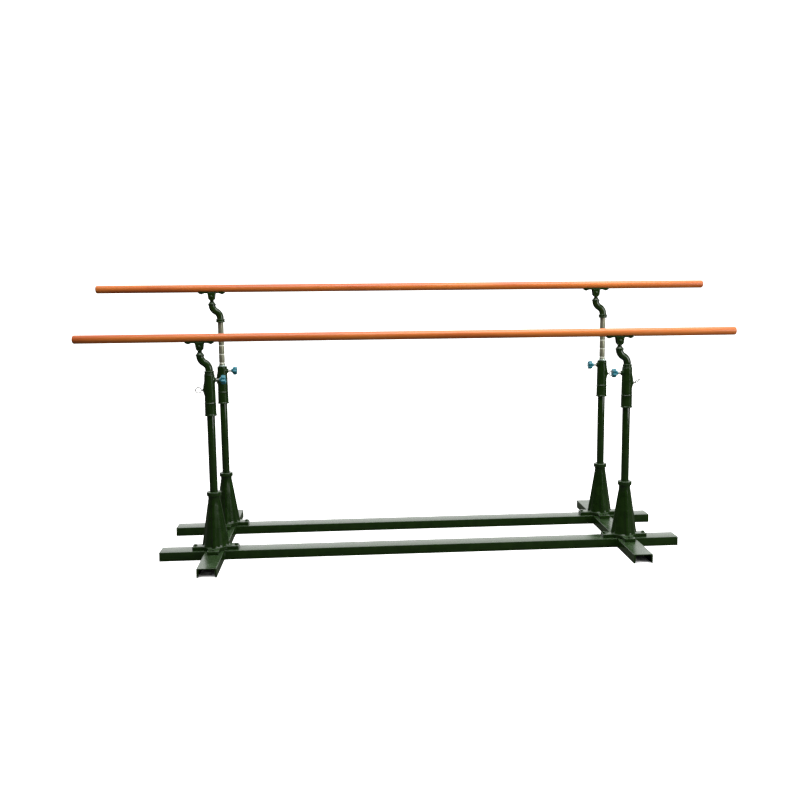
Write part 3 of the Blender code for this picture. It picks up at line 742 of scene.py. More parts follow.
@dataclass
class Paintshop:
    """Every finish of the apparatus, made once and handed out by name."""

    ready: dict[str, bpy.types.Material] = field(default_factory=dict)
    finishes: tuple[Any, ...] = (
        Enamel("rolled_enamel", (0.0110, 0.0320, 0.0034), (0.0080, 0.0250, 0.0027)),
        Enamel(
            "cast_enamel",
            (0.0110, 0.0330, 0.0034),
            (0.0075, 0.0240, 0.0026),
            dimple_scale=190.0,
            dimple_weight=0.7,
            bump=0.5,
        ),
        RailSkin("rail_coat"),
        Steel("drawn_steel", (0.36, 0.37, 0.27), (0.17, 0.155, 0.085), roughness=0.36, metallic=0.6),
        Steel("groove_steel", (0.78, 0.80, 0.70), (0.50, 0.50, 0.40), roughness=0.42, metallic=0.35),
        Steel("turned_steel", (0.62, 0.63, 0.60), (0.28, 0.27, 0.22), stretch=(40.0, 900.0, 900.0)),
        Steel("bush_metal", (0.62, 0.76, 0.70), (0.40, 0.46, 0.40), roughness=0.38, metallic=0.85),
        Steel("plated_wire", (0.060, 0.062, 0.040), (0.030, 0.028, 0.016), roughness=0.34, metallic=0.5),
        MouldedPlastic("knob_moulding", (0.018, 0.180, 0.240), (0.065, 0.31, 0.38)),
    )

    def build(self) -> None:
        """Make every finish."""
        for finish in self.finishes:
            self.ready[finish.name] = finish.material()
            log.info("finish %s", finish.name)


SHOP = Paintshop()


@dataclass(frozen=True)
class Coat:
    """A finish and the record's slot that it belongs to."""

    finish: str
    slot: Slot


ROLLED = Coat("rolled_enamel", Slot.FRAME)
CAST = Coat("cast_enamel", Slot.CASTING)
RAIL_COAT = Coat("rail_coat", Slot.RAIL)
TUBE_STEEL = Coat("drawn_steel", Slot.BRIGHT)
TURNED_STEEL = Coat("turned_steel", Slot.BRIGHT)
BUSH_METAL = Coat("bush_metal", Slot.BRIGHT)
GROOVE_STEEL = Coat("groove_steel", Slot.BRIGHT)
WIRE = Coat("plated_wire", Slot.WIRE)
GRIP = Coat("knob_moulding", Slot.GRIP)


def add_piece(name: str, stock: Stock, coat: Coat, body: str, *stands_for: str) -> bpy.types.Object:
    """Put a finished mesh into the scene.

    Args:
        name: The piece's name.
        stock: Its mesh, already in place.
        coat: Its finish and slot.
        body: The body that it rides on.
        stands_for: CAD nodes that it replaces.

    Returns:
        The piece.
    """
    piece = bpy.data.objects.new(name, stock.finished(name))
    bpy.context.scene.collection.objects.link(piece)
    piece.data.materials.append(SHOP.ready[coat.finish])
    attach(piece, body)
    if stands_for:
        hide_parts(*stands_for)
    log.info("%s: %d faces, rides on %s", name, len(piece.data.polygons), body)
    return piece


# ---------------------------------------------------------------- stations


@dataclass(frozen=True)
class Station:
    """Where one support stands."""

    row: Row
    end: End

    @property
    def tag(self) -> str:
        """The ending of this support's node names."""
        return f"{self.row.value}_{self.end.value}"

    @property
    def axis(self) -> Vector:
        """Where the post's axis meets the floor."""
        centre = middle_of(f"post_{self.tag}")
        return Vector((centre.x, centre.y, 0.0))

    @property
    def upright(self) -> Matrix:
        """The support's own frame: origin on the post's axis at the floor."""
        return Matrix.Translation(self.axis)

    @property
    def inward(self) -> Matrix:
        """The support's frame with +X pointing at the other end of the rail."""
        return self.upright @ spin(0.0 if self.end is End.LEFT else pi, "Z")


STATIONS = [Station(row, end) for row in Row for end in End]


# ---------------------------------------------------------------- frame of channels


@dataclass
class ChannelFrame:
    """The inverted channels: two cross feet and six lengths of long beam."""

    flange_edge: float = 0.007
    flange_root: float = 0.010
    web: float = 0.0053
    heel_radius: float = 0.0028
    root_radius: float = 0.0075
    toe_radius: float = 0.0032
    foot_radius: float = 0.0012
    saw_edge: float = 0.0006
    weld_radius: float = 0.0034
    weld_ripple: float = 0.0042
    lug_clearance: float = 0.034

    def section(self, half: float, height: float) -> list[Point2]:
        """Return the rolled section, counter-clockwise, across the channel and up.

        Args:
            half: Half the channel's width.
            height: The channel's height.

        Returns:
            The section's corners.
        """
        corners = [
            (half, 0.0),
            (half, height),
            (-half, height),
            (-half, 0.0),
            (-half + self.flange_edge, 0.0),
            (-half + self.flange_root, height - self.web),
            (half - self.flange_root, height - self.web),
            (half - self.flange_edge, 0.0),
        ]
        heel, root, toe = self.heel_radius, self.root_radius, self.toe_radius
        foot = self.foot_radius
        return rounded(corners, [foot, heel, heel, foot, toe, root, root, toe], 5, closed=True)

    def length_of_channel(self, node: str) -> Stock:
        """Return the channel that fills a node's box, lying along the box's longer side.

        Args:
            node: Name of the CAD node.

        Returns:
            The channel.
        """
        low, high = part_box(node)
        size = high - low
        along_x = size.x > size.y
        length, width = (size.x, size.y) if along_x else (size.y, size.x)
        outline = self.section(width / 2, size.z)
        stations = [(-length / 2, self.saw_edge), (-length / 2 + self.saw_edge, 0.0)]
        stations += [(-x, depth) for x, depth in reversed(stations)]
        loops = []
        for x, depth in stations:
            loops.append([Vector((x, y, z)) for y, z in inset(outline, depth)])
        turn = HERE if along_x else spin(pi / 2, "Z")
        centre = Matrix.Translation(((low.x + high.x) / 2, (low.y + high.y) / 2, low.z))
        return Stock().loft(loops, centre @ turn)

    def weld_path(self, across: float, along: float, top: float) -> Loop:
        """Return a bead's path over the web's joint and down the corner of two flanges.

        Args:
            across: Distance of the joint from the post's axis, along the rails.
            along: Distance of the corner from the axis, across the rails.
            top: Height of the web's top.

        Returns:
            The bead's path.
        """
        sink = self.weld_radius * 0.35
        corner = [
            Vector((across, self.lug_clearance * (1 if along > 0 else -1), top - sink)),
            Vector((across, along, top - sink)),
            Vector((across, along, 0.001)),
        ]
        path = []
        for start, end in zip(corner, corner[1:]):
            steps = max(2, round((end - start).length / (self.weld_ripple / 4)))
            path += [start.lerp(end, step / steps) for step in range(steps)]
        return path + [corner[-1]]

    def add_welds(self, station: Station) -> None:
        """Add the four beads round one crossing.

        Args:
            station: The support that stands on the crossing.
        """
        foot_low, foot_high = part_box(f"foot_{station.end.value}")
        beam_low, beam_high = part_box(f"beam_{station.row.value}_middle")
        half_foot = (foot_high.x - foot_low.x) / 2
        half_beam = (beam_high.y - beam_low.y) / 2
        stock = Stock()
        for side in (-1, 1):
            for way in (-1, 1):
                path = self.weld_path(side * half_foot, way * half_beam, foot_high.z)
                radii = []
                for index in range(len(path)):
                    ripple = 0.12 * abs(sin(pi * index / 4)) + 0.06 * sin(index * 1.7 + side * 2 + way)
                    ends = min(1.0, 0.35 + 0.3 * min(index, len(path) - 1 - index))
                    radii.append(self.weld_radius * (0.88 + ripple) * ends)
                stock.sweep(path, radii, 10, station.upright)
        add_piece(f"weld_beads_{station.tag}", stock, ROLLED, "frame")

    def build(self) -> None:
        """Build every channel and the welds."""
        names = [f"foot_{end.value}" for end in End]
        for row in Row:
            names += [f"beam_{row.value}_{part}" for part in ("middle", "left_end", "right_end")]
        for node in names:
            add_piece(f"channel_{node}", self.length_of_channel(node), ROLLED, "frame", node)
        for station in STATIONS:
            self.add_welds(station)


# ---------------------------------------------------------------- pedestal


@dataclass
class Pedestal:
    """The ribbed cone with four lugs, its bolts, and the post that stands in it."""

    lug_width: float = 0.060
    lug_thickness: float = 0.019
    lug_fillet: float = 0.032
    lug_corner: float = 0.0055
    lug_edge: float = 0.0026
    foot_radius: float = 0.0625
    neck_radius: float = 0.031
    neck_height: float = 0.257
    foot_fillet: float = 0.011
    rib_half: float = 0.0050
    rib_fillet: float = 0.0100
    rib_foot: float = 0.0715
    rib_top: float = 0.0338
    rib_fade: float = 0.030
    collar_height: float = 0.290
    collar_radius: float = 0.0377
    collar_crown: float = 0.008
    socket_radius: float = 0.0219
    socket_mouth: float = 0.0224
    socket_floor: float = 0.150
    bolt_circle: float = 0.1085
    bolt_width: float = 0.0150
    bolt_height: float = 0.0078
    washer_radius: float = 0.0112
    washer_height: float = 0.0022
    bolt_hole: float = 0.004
    post_wall: float = 0.0038
    post_rim: float = 0.0007

    def lug_plate(self, reach: float) -> list[Point2]:
        """Return the outline of the four crossed lugs.

        Args:
            reach: Distance of a lug's end from the axis.

        Returns:
            The outline's points.
        """
        half = self.lug_width / 2
        quarter = [(reach, -half), (reach, half), (half, half)]
        radii = [self.lug_corner, self.lug_corner, self.lug_fillet]
        corners: list[Point2] = []
        for turn in range(4):
            c, s = round(cos(turn * pi / 2)), round(sin(turn * pi / 2))
            corners += [(x * c - y * s, x * s + y * c) for x, y in quarter]
        return rounded(corners, radii * 4, 7, closed=True)

    def cone_radius(self, z: float) -> float:
        """Return the cone's radius at a height above the frame."""
        slope = (self.foot_radius - self.neck_radius) / (self.neck_height - self.lug_thickness)
        return self.foot_radius - slope * max(0.0, z - self.lug_thickness)

    def rib_radius(self, z: float) -> float:
        """Return how far out a rib's spine stands at a height.

        Args:
            z: Height above the frame.

        Returns:
            Distance of the spine from the axis.
        """
        share = max(0.0, z - self.lug_thickness) / (self.neck_height - self.lug_thickness)
        spine = self.rib_foot + (self.rib_top - self.rib_foot) * min(1.0, share)
        fade = min(1.0, max(0.0, (self.collar_height - 0.006 - z) / self.rib_fade))
        return self.cone_radius(z) * (1 - fade) + spine * fade

    def cone_loop(self, z: float, turns: Sequence[float]) -> Loop:
        """Return the ribbed cone's outline at one height.

        Args:
            z: Height above the frame.
            turns: Angles of the outline's points.

        Returns:
            The outline.
        """
        plain = max(self.neck_radius, self.cone_radius(z)) if z > self.neck_height else self.cone_radius(z)
        above = z - self.lug_thickness
        fillet = flare = self.foot_fillet
        if above > 0:
            flare = fillet - sqrt(max(0.0, fillet**2 - max(0.0, fillet - above) ** 2))
        points = []
        for turn in turns:
            nearest = (turn + pi / 4) % (pi / 2) - pi / 4
            radius = plain + flare * (0.25 + 0.75 * hump(nearest, radians(44), radians(14)))
            spine = max(radius, self.rib_radius(z))
            share = hump(radius * sin(nearest), self.rib_half + self.rib_fillet, self.rib_half * 0.75)
            radius += (spine - radius) * share
            points.append(Vector((radius * cos(turn), radius * sin(turn), z)))
        return points

    def cone_turns(self) -> list[float]:
        """Return the angles of the cone's columns, close together at the ribs.

        Returns:
            The angles.
        """
        half = [0.0, 1.0, 1.9, 2.8, 3.7, 4.6, 5.6, 6.8, 8.2, 10.0, 12.5, 15.5, 19.0, 24.0, 30.0, 37.0]
        steps = [-angle for angle in reversed(half[1:])] + half + [45.0]
        return [radians(90 * quarter + angle) for quarter in range(4) for angle in steps]

    def casting(self, height: float, reach: float) -> Stock:
        """Return the whole casting. Its origin is on the post's axis at its underside.

        Args:
            height: Height of the whole casting.
            reach: Distance of a lug's end from the axis.

        Returns:
            The casting.
        """
        stock = Stock()
        stock.slab(self.lug_plate(reach), 0.0, self.lug_thickness, self.lug_edge)
        turns = self.cone_turns()
        levels = [0.004, 0.012, 0.0185, 0.0195, 0.0205, 0.022, 0.0235, 0.0255, 0.028, 0.031, 0.035]
        levels += [0.040, 0.047, 0.058, 0.075, 0.10, 0.13, 0.16, 0.19, 0.22, 0.245, 0.257, 0.264, 0.272]
        levels += [0.28, self.collar_height - 0.003]
        loops = [self.cone_loop(z, turns) for z in levels]
        rim = [
            (self.neck_radius, self.collar_height - 0.003),
            (self.neck_radius + 0.0002, self.collar_height - 0.001),
            (self.collar_radius, self.collar_height - 0.001),
            (self.collar_radius, height - 0.001),
            (self.collar_radius - self.collar_crown, height),
            (self.socket_mouth, height),
            (self.socket_radius, height - 0.004),
            (self.socket_radius, self.socket_floor),
        ]
        bends = [0, 0.001, 0.0055, 0.0055, 0.003, 0.0008, 0.0008, 0]
        loops += [level_circle(radius, z, turns) for radius, z in rounded(rim, bends, 5)[1:]]
        return stock.loft(loops)

    def add_bolt(self, stock: Stock, place: Matrix) -> None:
        """Add a washer and a hexagon head with a chamfered crown.

        Args:
            stock: The stock to add to.
            place: Where the washer's underside goes.
        """
        hole, rim, top = self.bolt_hole, self.washer_radius, self.washer_height
        stock.turn(rounded([(hole, 0.0), (rim, 0.0), (rim, top), (hole, top)], 0.0006, 2), place, 32)
        flat, crown = self.bolt_width / 2, self.bolt_height
        loops = []
        for share, z in ((1, 0.002), (1, crown * 0.72), (0.94, crown * 0.9), (0.86, crown), (0.4, crown)):
            loop = []
            for turn in even_turns(24):
                hexagon = flat / cos((turn + pi / 6) % (pi / 3) - pi / 6)
                limit = flat * (1.155 if share == 1 else share * 1.1)
                radius = min(hexagon, limit) * (1 if share > 0.5 else share)
                loop.append(Vector((radius * cos(turn), radius * sin(turn), z)))
            loops.append(loop)
        stock.loft(loops, place @ spin(radians(17), "Z"))

    def build(self, station: Station) -> None:
        """Build one pedestal with its bolts and its post.

        Args:
            station: The support that it belongs to.
        """
        node = f"pedestal_{station.tag}"
        low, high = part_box(node)
        casting = self.casting(high.z - low.z, (high.x - low.x) / 2)
        casting.mesh.transform(station.upright @ move(z=low.z))
        add_piece(f"pedestal_casting_{station.tag}", casting, CAST, "frame", node)
        bolts = Stock()
        for quarter in range(4):
            arm = spin(quarter * pi / 2, "Z") @ move(x=self.bolt_circle)
            tilt = spin(quarter * 0.9 + len(station.tag), "Z")
            self.add_bolt(bolts, station.upright @ move(z=low.z + self.lug_thickness) @ arm @ tilt)
        add_piece(f"pedestal_bolts_{station.tag}", bolts, CAST, "frame")
        self.add_post(station)

    def add_post(self, station: Station) -> None:
        """Add the outer tube.

        Args:
            station: The support that it belongs to.
        """
        node = f"post_{station.tag}"
        low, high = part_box(node)
        radius = (high.x - low.x) / 2
        bore = radius - self.post_wall
        wall = [(bore, low.z), (radius, low.z), (radius, high.z), (bore, high.z)]
        stock = Stock().turn(rounded(wall, self.post_rim, 2, closed=True), station.upright, 72, ring=True)
        add_piece(f"outer_post_{station.tag}", stock, ROLLED, "frame", node)


# ---------------------------------------------------------------- sleeve and its fittings


@dataclass
class Sleeve:
    """The cast sleeve at the top of a post, with the guide bush in its mouth."""

    height: float = 0.215
    foot_radius: float = 0.0298
    top_radius: float = 0.0272
    bead: float = 0.0019
    bead_height: float = 0.066
    post_clearance: float = 0.0216
    bush_radius: float = 0.0185
    bush_height: float = 0.008
    bush_bore: float = 0.01625
    bush_length: float = 0.030
    knob_height: float = 0.188
    knob_boss_radius: float = 0.0112
    knob_boss_reach: float = 0.035
    horn: tuple[Point2, ...] = ((0.0215, 0.0215), (0.0185, 0.0258), (0.0140, 0.0290))
    pin_height: float = 0.135
    pin_reach: float = 0.0345
    gland: tuple[Point2, ...] = (
        (0.0098, -0.006),
        (0.0094, 0.0001),
        (0.0088, 0.0005),
        (0.0056, 0.0005),
        (0.0054, -0.005),
    )
    swell_up: float = 0.058
    swell_down: float = 0.034
    swell_side: float = radians(54)

    def plain_radius(self, z: float) -> float:
        """Return the radius without the swelling, at a height above the sleeve's foot.

        Args:
            z: Height above the sleeve's foot.

        Returns:
            The radius.
        """
        taper = self.foot_radius + (self.top_radius - self.foot_radius) * z / self.height
        foot_bead = self.bead * hump(z - 0.0028, 0.0042, 0.0028)
        ring_bead = self.bead * hump(z - self.bead_height, 0.0042, 0.0012)
        groove = 0.0007 * hump(z - self.bead_height - 0.0065, 0.0028)
        return taper + max(foot_bead, ring_bead) - groove

    def swell(self, turn: float, z: float) -> float:
        """Return how much of the pin's swelling stands at a point, from nothing to one.

        Args:
            turn: Angle from the pin boss.
            z: Height above the sleeve's foot.

        Returns:
            The share.
        """
        aside = (turn + pi) % (2 * pi) - pi
        rise = z - self.pin_height
        reach = self.swell_up if rise > 0 else self.swell_down
        away = sqrt((aside / self.swell_side) ** 2 + (rise / reach) ** 2)
        return hump(away, 1.0, 0.20)

    def shell(self) -> Stock:
        """Return the sleeve. Its origin is at its foot, and its pin boss faces +X.

        Returns:
            The sleeve.
        """
        turns = even_turns(96)
        fine = [0.0, 0.0006, 0.0016, 0.0028, 0.0045, 0.006, 0.008, 0.010]
        levels = fine + [0.02, 0.035, 0.05, 0.058]
        levels += [self.bead_height + step * 0.001 for step in range(-5, 11)]
        levels += [0.08, 0.086, 0.092] + [0.096 + 0.0045 * step for step in range(22)] + [0.2, 0.2105, 0.2135]
        loops = []
        for z in levels:
            loop = []
            for turn in turns:
                plain = self.plain_radius(z) - (0.0009 if z < 0.0005 else 0.0)
                radius = plain + (self.pin_reach - plain) * self.swell(turn, z)
                loop.append(Vector((radius * cos(turn), radius * sin(turn), z)))
            loops.append(loop)
        rim = [(self.top_radius - 0.0009, self.height), (self.bush_radius + 0.0004, self.height)]
        rim += [(self.bush_radius + 0.0001, self.height - 0.0012), (self.bush_radius + 0.0001, 0.15)]
        rim += [(self.post_clearance, 0.12), (self.post_clearance, 0.0)]
        loops += [level_circle(radius, z, turns) for radius, z in rim]
        return Stock().loft(loops, ring=True)

    def build(self, station: Station) -> None:
        """Build one sleeve, its bosses and its bush.

        Args:
            station: The support that it belongs to.
        """
        node = f"sleeve_{station.tag}"
        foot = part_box(node)[0].z
        outward = station.inward @ spin(pi, "Z")
        stock = self.shell()
        stock.mesh.transform(outward @ move(z=foot))
        horn = [
            *self.horn,
            (self.knob_boss_radius + 0.0004, self.knob_boss_reach - 0.003),
            (self.knob_boss_radius, self.knob_boss_reach),
            (0.0070, self.knob_boss_reach),
            (0.0068, 0.0240),
        ]
        knob_place = station.inward @ move(z=foot + self.knob_height) @ TO_X
        stock.turn(rounded(horn, [0, 0.006, 0.01, 0.004, 0.0014, 0.0006, 0], 4), knob_place, 40)
        gland = [(radius, self.pin_reach + step) for radius, step in self.gland]
        pin_place = outward @ move(z=foot + self.pin_height) @ TO_X
        stock.turn(rounded(gland, 0.0003, 2), pin_place, 36)
        add_piece(f"sleeve_casting_{station.tag}", stock, CAST, "frame", node)
        self.add_bush(station, foot + self.height)

    def add_bush(self, station: Station, top: float) -> None:
        """Add the pale bush that guides the inner tube.

        Args:
            station: The support that it belongs to.
            top: Height of the sleeve's top.
        """
        wall = [
            (self.bush_bore, top - self.bush_length),
            (self.bush_radius, top - self.bush_length),
            (self.bush_radius, top + self.bush_height - 0.0002),
            (self.bush_bore, top + self.bush_height - 0.0002),
        ]
        stock = Stock().turn(rounded(wall, 0.0009, 3, closed=True), station.upright, 64, ring=True)
        add_piece(f"guide_bush_{station.tag}", stock, BUSH_METAL, "frame")


@dataclass
class StarKnob:
    """The moulded star grip and its threaded screw."""

    lobes: int = 6
    radius: float = 0.024
    lobe_depth: float = 0.0052
    back: float = 0.0606
    front: float = 0.083
    hub_radius: float = 0.0108
    hub_start: float = 0.051
    screw_radius: float = 0.0059
    thread_depth: float = 0.0006
    thread_pitch: float = 0.00175
    screw_start: float = 0.0222

    def star_loop(self, scale: float, star: float, x: float) -> Loop:
        """Return one loop of the grip.

        Args:
            scale: Share of the full radius.
            star: How far the lobes are drawn out, from zero to one.
            x: Distance from the tube's axis.

        Returns:
            The loop, across the knob's axis.
        """
        points = []
        for turn in even_turns(self.lobes * 14):
            wave = (1 - cos(self.lobes * turn)) / 2
            radius = scale * (self.radius - star * self.lobe_depth * wave**1.35)
            points.append(Vector((x, radius * cos(turn), radius * sin(turn))))
        return points

    def grip(self) -> Stock:
        """Return the grip along +X from the tube's axis.

        Returns:
            The grip.
        """
        hub = self.hub_radius / self.radius
        front = self.front
        steps = [
            (hub * 0.62, 0.0, self.hub_start + 0.0002),
            (hub * 0.92, 0.0, self.hub_start),
            (hub, 0.0, self.hub_start + 0.0009),
            (hub, 0.0, self.hub_start + 0.0040),
            (hub * 1.14, 0.0, self.back - 0.0030),
            (hub * 1.42, 0.1, self.back - 0.0008),
            (0.80, 0.75, self.back),
            (0.92, 0.95, self.back + 0.0008),
            (0.985, 1.0, self.back + 0.0030),
            (1.0, 1.0, self.back + 0.0062),
            (1.0, 1.0, front - 0.0072),
            (0.985, 1.0, front - 0.0040),
            (0.93, 1.0, front - 0.0014),
            (0.84, 0.95, front - 0.0002),
            (0.74, 0.7, front),
            (0.56, 0.2, front - 0.0010),
            (0.52, 0.0, front - 0.0030),
            (0.46, 0.0, front - 0.0034),
            (0.36, 0.0, front - 0.0020),
            (0.10, 0.0, front - 0.0014),
        ]
        return Stock().loft([self.star_loop(*step) for step in steps])

    def screw(self) -> Stock:
        """Return the threaded screw along +X.

        Returns:
            The screw.
        """
        sides, per_turn = 24, 6
        end = self.hub_start + 0.004
        count = round((end - self.screw_start) / (self.thread_pitch / per_turn))
        loops = []
        for step in range(count + 1):
            x = self.screw_start + step * self.thread_pitch / per_turn
            taper = min(1.0, 0.75 + 0.06 * step)
            loop = []
            for side in range(sides):
                phase = (step / per_turn - side / sides) % 1.0
                crest = self.screw_radius * taper - self.thread_depth * (1 - hump(phase - 0.5, 0.5, 0.1))
                turn = 2 * pi * side / sides
                loop.append(Vector((x, crest * cos(turn), crest * sin(turn))))
            loops.append(loop)
        return Stock().loft(loops)

    def build(self, station: Station) -> None:
        """Build one knob and its screw.

        Args:
            station: The support that it belongs to.
        """
        node = f"knob_{station.tag}"
        place = station.inward @ move(z=middle_of(f"clamp_pad_{station.tag}").z)
        grip, screw = self.grip(), self.screw()
        grip.mesh.transform(place @ spin(radians(11 + 13 * len(station.tag)), "X"))
        screw.mesh.transform(place)
        add_piece(f"star_grip_{station.tag}", grip, GRIP, f"{station.tag}_knob", node)
        add_piece(f"clamp_screw_{station.tag}", screw, TURNED_STEEL, f"{station.tag}_knob")


@dataclass
class PullPin:
    """The sprung pin and its wire ring."""

    radius: float = 0.0045
    tip: float = 0.0163
    nose: float = 0.0045
    collar_start: float = 0.0370
    collar_end: float = 0.0395
    collar_radius: float = 0.007
    eye_reach: float = 0.0445
    eye_radius: float = 0.0038
    eye_wire: float = 0.0015
    ring_radius: float = 0.0145
    ring_wire: float = 0.0020
    crimp_radius: float = 0.0026
    crimp_half: float = radians(17)

    def pin(self) -> Stock:
        """Return the pin along +X, with its eye open along Z.

        Returns:
            The pin.
        """
        neck = self.eye_reach - self.eye_radius
        profile = [
            (0.0008, self.tip),
            (self.radius, self.tip + self.nose),
            (self.radius, self.collar_start),
            (self.collar_radius, self.collar_start),
            (self.collar_radius, self.collar_end),
            (0.0028, self.collar_end),
            (0.0022, neck + 0.0004),
        ]
        stock = Stock().turn(rounded(profile, 0.0006, 3), TO_X, 32)
        eye = level_circle(self.eye_radius, 0.0, even_turns(32))
        centre = Vector((self.eye_reach, 0, 0))
        return stock.sweep([centre + point for point in eye], self.eye_wire, 12, ring=True)

    def ring(self) -> Stock:
        """Return the wire ring in the XZ plane, with a crimp opposite the eye.

        Returns:
            The ring.
        """
        path, radii = [], []
        for turn in even_turns(72):
            path.append(Vector((self.ring_radius * (1 - cos(turn)), 0, self.ring_radius * sin(turn))))
            crimped = hump(turn - pi, self.crimp_half * 1.25, self.crimp_half)
            radii.append(self.ring_wire + (self.crimp_radius - self.ring_wire) * crimped)
        return Stock().sweep(path, radii, 14, ring=True)

    def build(self, station: Station) -> None:
        """Build one pin and its ring.

        Args:
            station: The support that it belongs to.
        """
        pin_node, ring_node = f"pull_pin_{station.tag}", f"pull_ring_{station.tag}"
        place = station.inward @ spin(pi, "Z") @ move(z=middle_of(pin_node).z)
        low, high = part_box(ring_node)
        lies_flat = high.y - low.y > 4 * self.ring_wire  # the ring crosses its pin sideways
        if lies_flat:
            place = place @ spin(pi / 2, "X")
        eye = place @ move(x=self.eye_reach)
        if lies_flat:
            reach = max(abs(high.x - station.axis.x), abs(low.x - station.axis.x)) - self.eye_reach
            span = 2 * self.ring_radius + self.ring_wire
            lift = acos(min(1.0, (reach - self.ring_wire) / (span - self.ring_wire)))
            up = 1 if (low.z + high.z) / 2 > middle_of(pin_node).z else -1
            eye = eye @ spin(up * lift, "Z")
        pin, ring = self.pin(), self.ring()
        pin.mesh.transform(place)
        ring.mesh.transform(eye)
        add_piece(f"spring_pin_{station.tag}", pin, TURNED_STEEL, f"{station.tag}_pin", pin_node)
        add_piece(f"wire_ring_{station.tag}", ring, WIRE, f"{station.tag}_ring", ring_node)


# ---------------------------------------------------------------- tube, arm and head


@dataclass
class InnerTube:
    """The bright tube that slides in the post, with a ring groove at every notch."""

    radius: float = 0.016
    bore: float = 0.0115
    spigot_radius: float = 0.010
    spigot_height: float = 0.020
    notch_pitch: float = 0.050
    notches: int = 11
    groove_depth: float = 0.0019
    groove_half: float = 0.0031
    first_drop: float = 0.0902

    def profile(self, length: float) -> list[Point2]:
        """Return the tube's profile, from its foot up to its spigot.

        Args:
            length: Length of the tube below its shoulder.

        Returns:
            The profile's points.
        """
        foot = -length
        corners = [(self.bore, foot), (self.radius - 0.0012, foot), (self.radius, foot + 0.0018)]
        for notch in reversed(range(self.notches)):
            z = -self.first_drop - notch * self.notch_pitch
            half, floor = self.groove_half, self.radius - self.groove_depth
            corners += [(self.radius, z - half), (floor, z - half * 0.35)]
            corners += [(floor, z + half * 0.35), (self.radius, z + half)]
        corners += [(self.radius, -0.0008), (self.radius - 0.0008, 0.0), (self.spigot_radius, 0.0)]
        corners += [(self.spigot_radius, self.spigot_height - 0.001)]
        return corners + [(self.spigot_radius - 0.001, self.spigot_height)]

    def build(self, station: Station) -> None:
        """Build one inner tube.

        Args:
            station: The support that it belongs to.
        """
        node = f"inner_tube_{station.tag}"
        low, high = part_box(node)
        shoulder = high.z - self.spigot_height
        profile = rounded(self.profile(shoulder - low.z), 0.0004, 2)
        stock = Stock().turn(profile, station.upright @ move(z=shoulder), 56)
        tube = add_piece(f"notched_tube_{station.tag}", stock, TUBE_STEEL, f"{station.tag}_tube", node)
        self.brighten_grooves(tube, station.axis)

    def brighten_grooves(self, tube: bpy.types.Object, axis: Vector) -> None:
        """Give the grooves their own, paler steel.

        Args:
            tube: The finished tube.
            axis: A point on the tube's axis.
        """
        tube.data.materials.append(SHOP.ready[GROOVE_STEEL.finish])
        for face in tube.data.polygons:
            away = (face.center.xy - axis.xy).length
            if self.radius - 1.1 * self.groove_depth < away < self.radius - 0.2 * self.groove_depth:
                face.material_index = 1


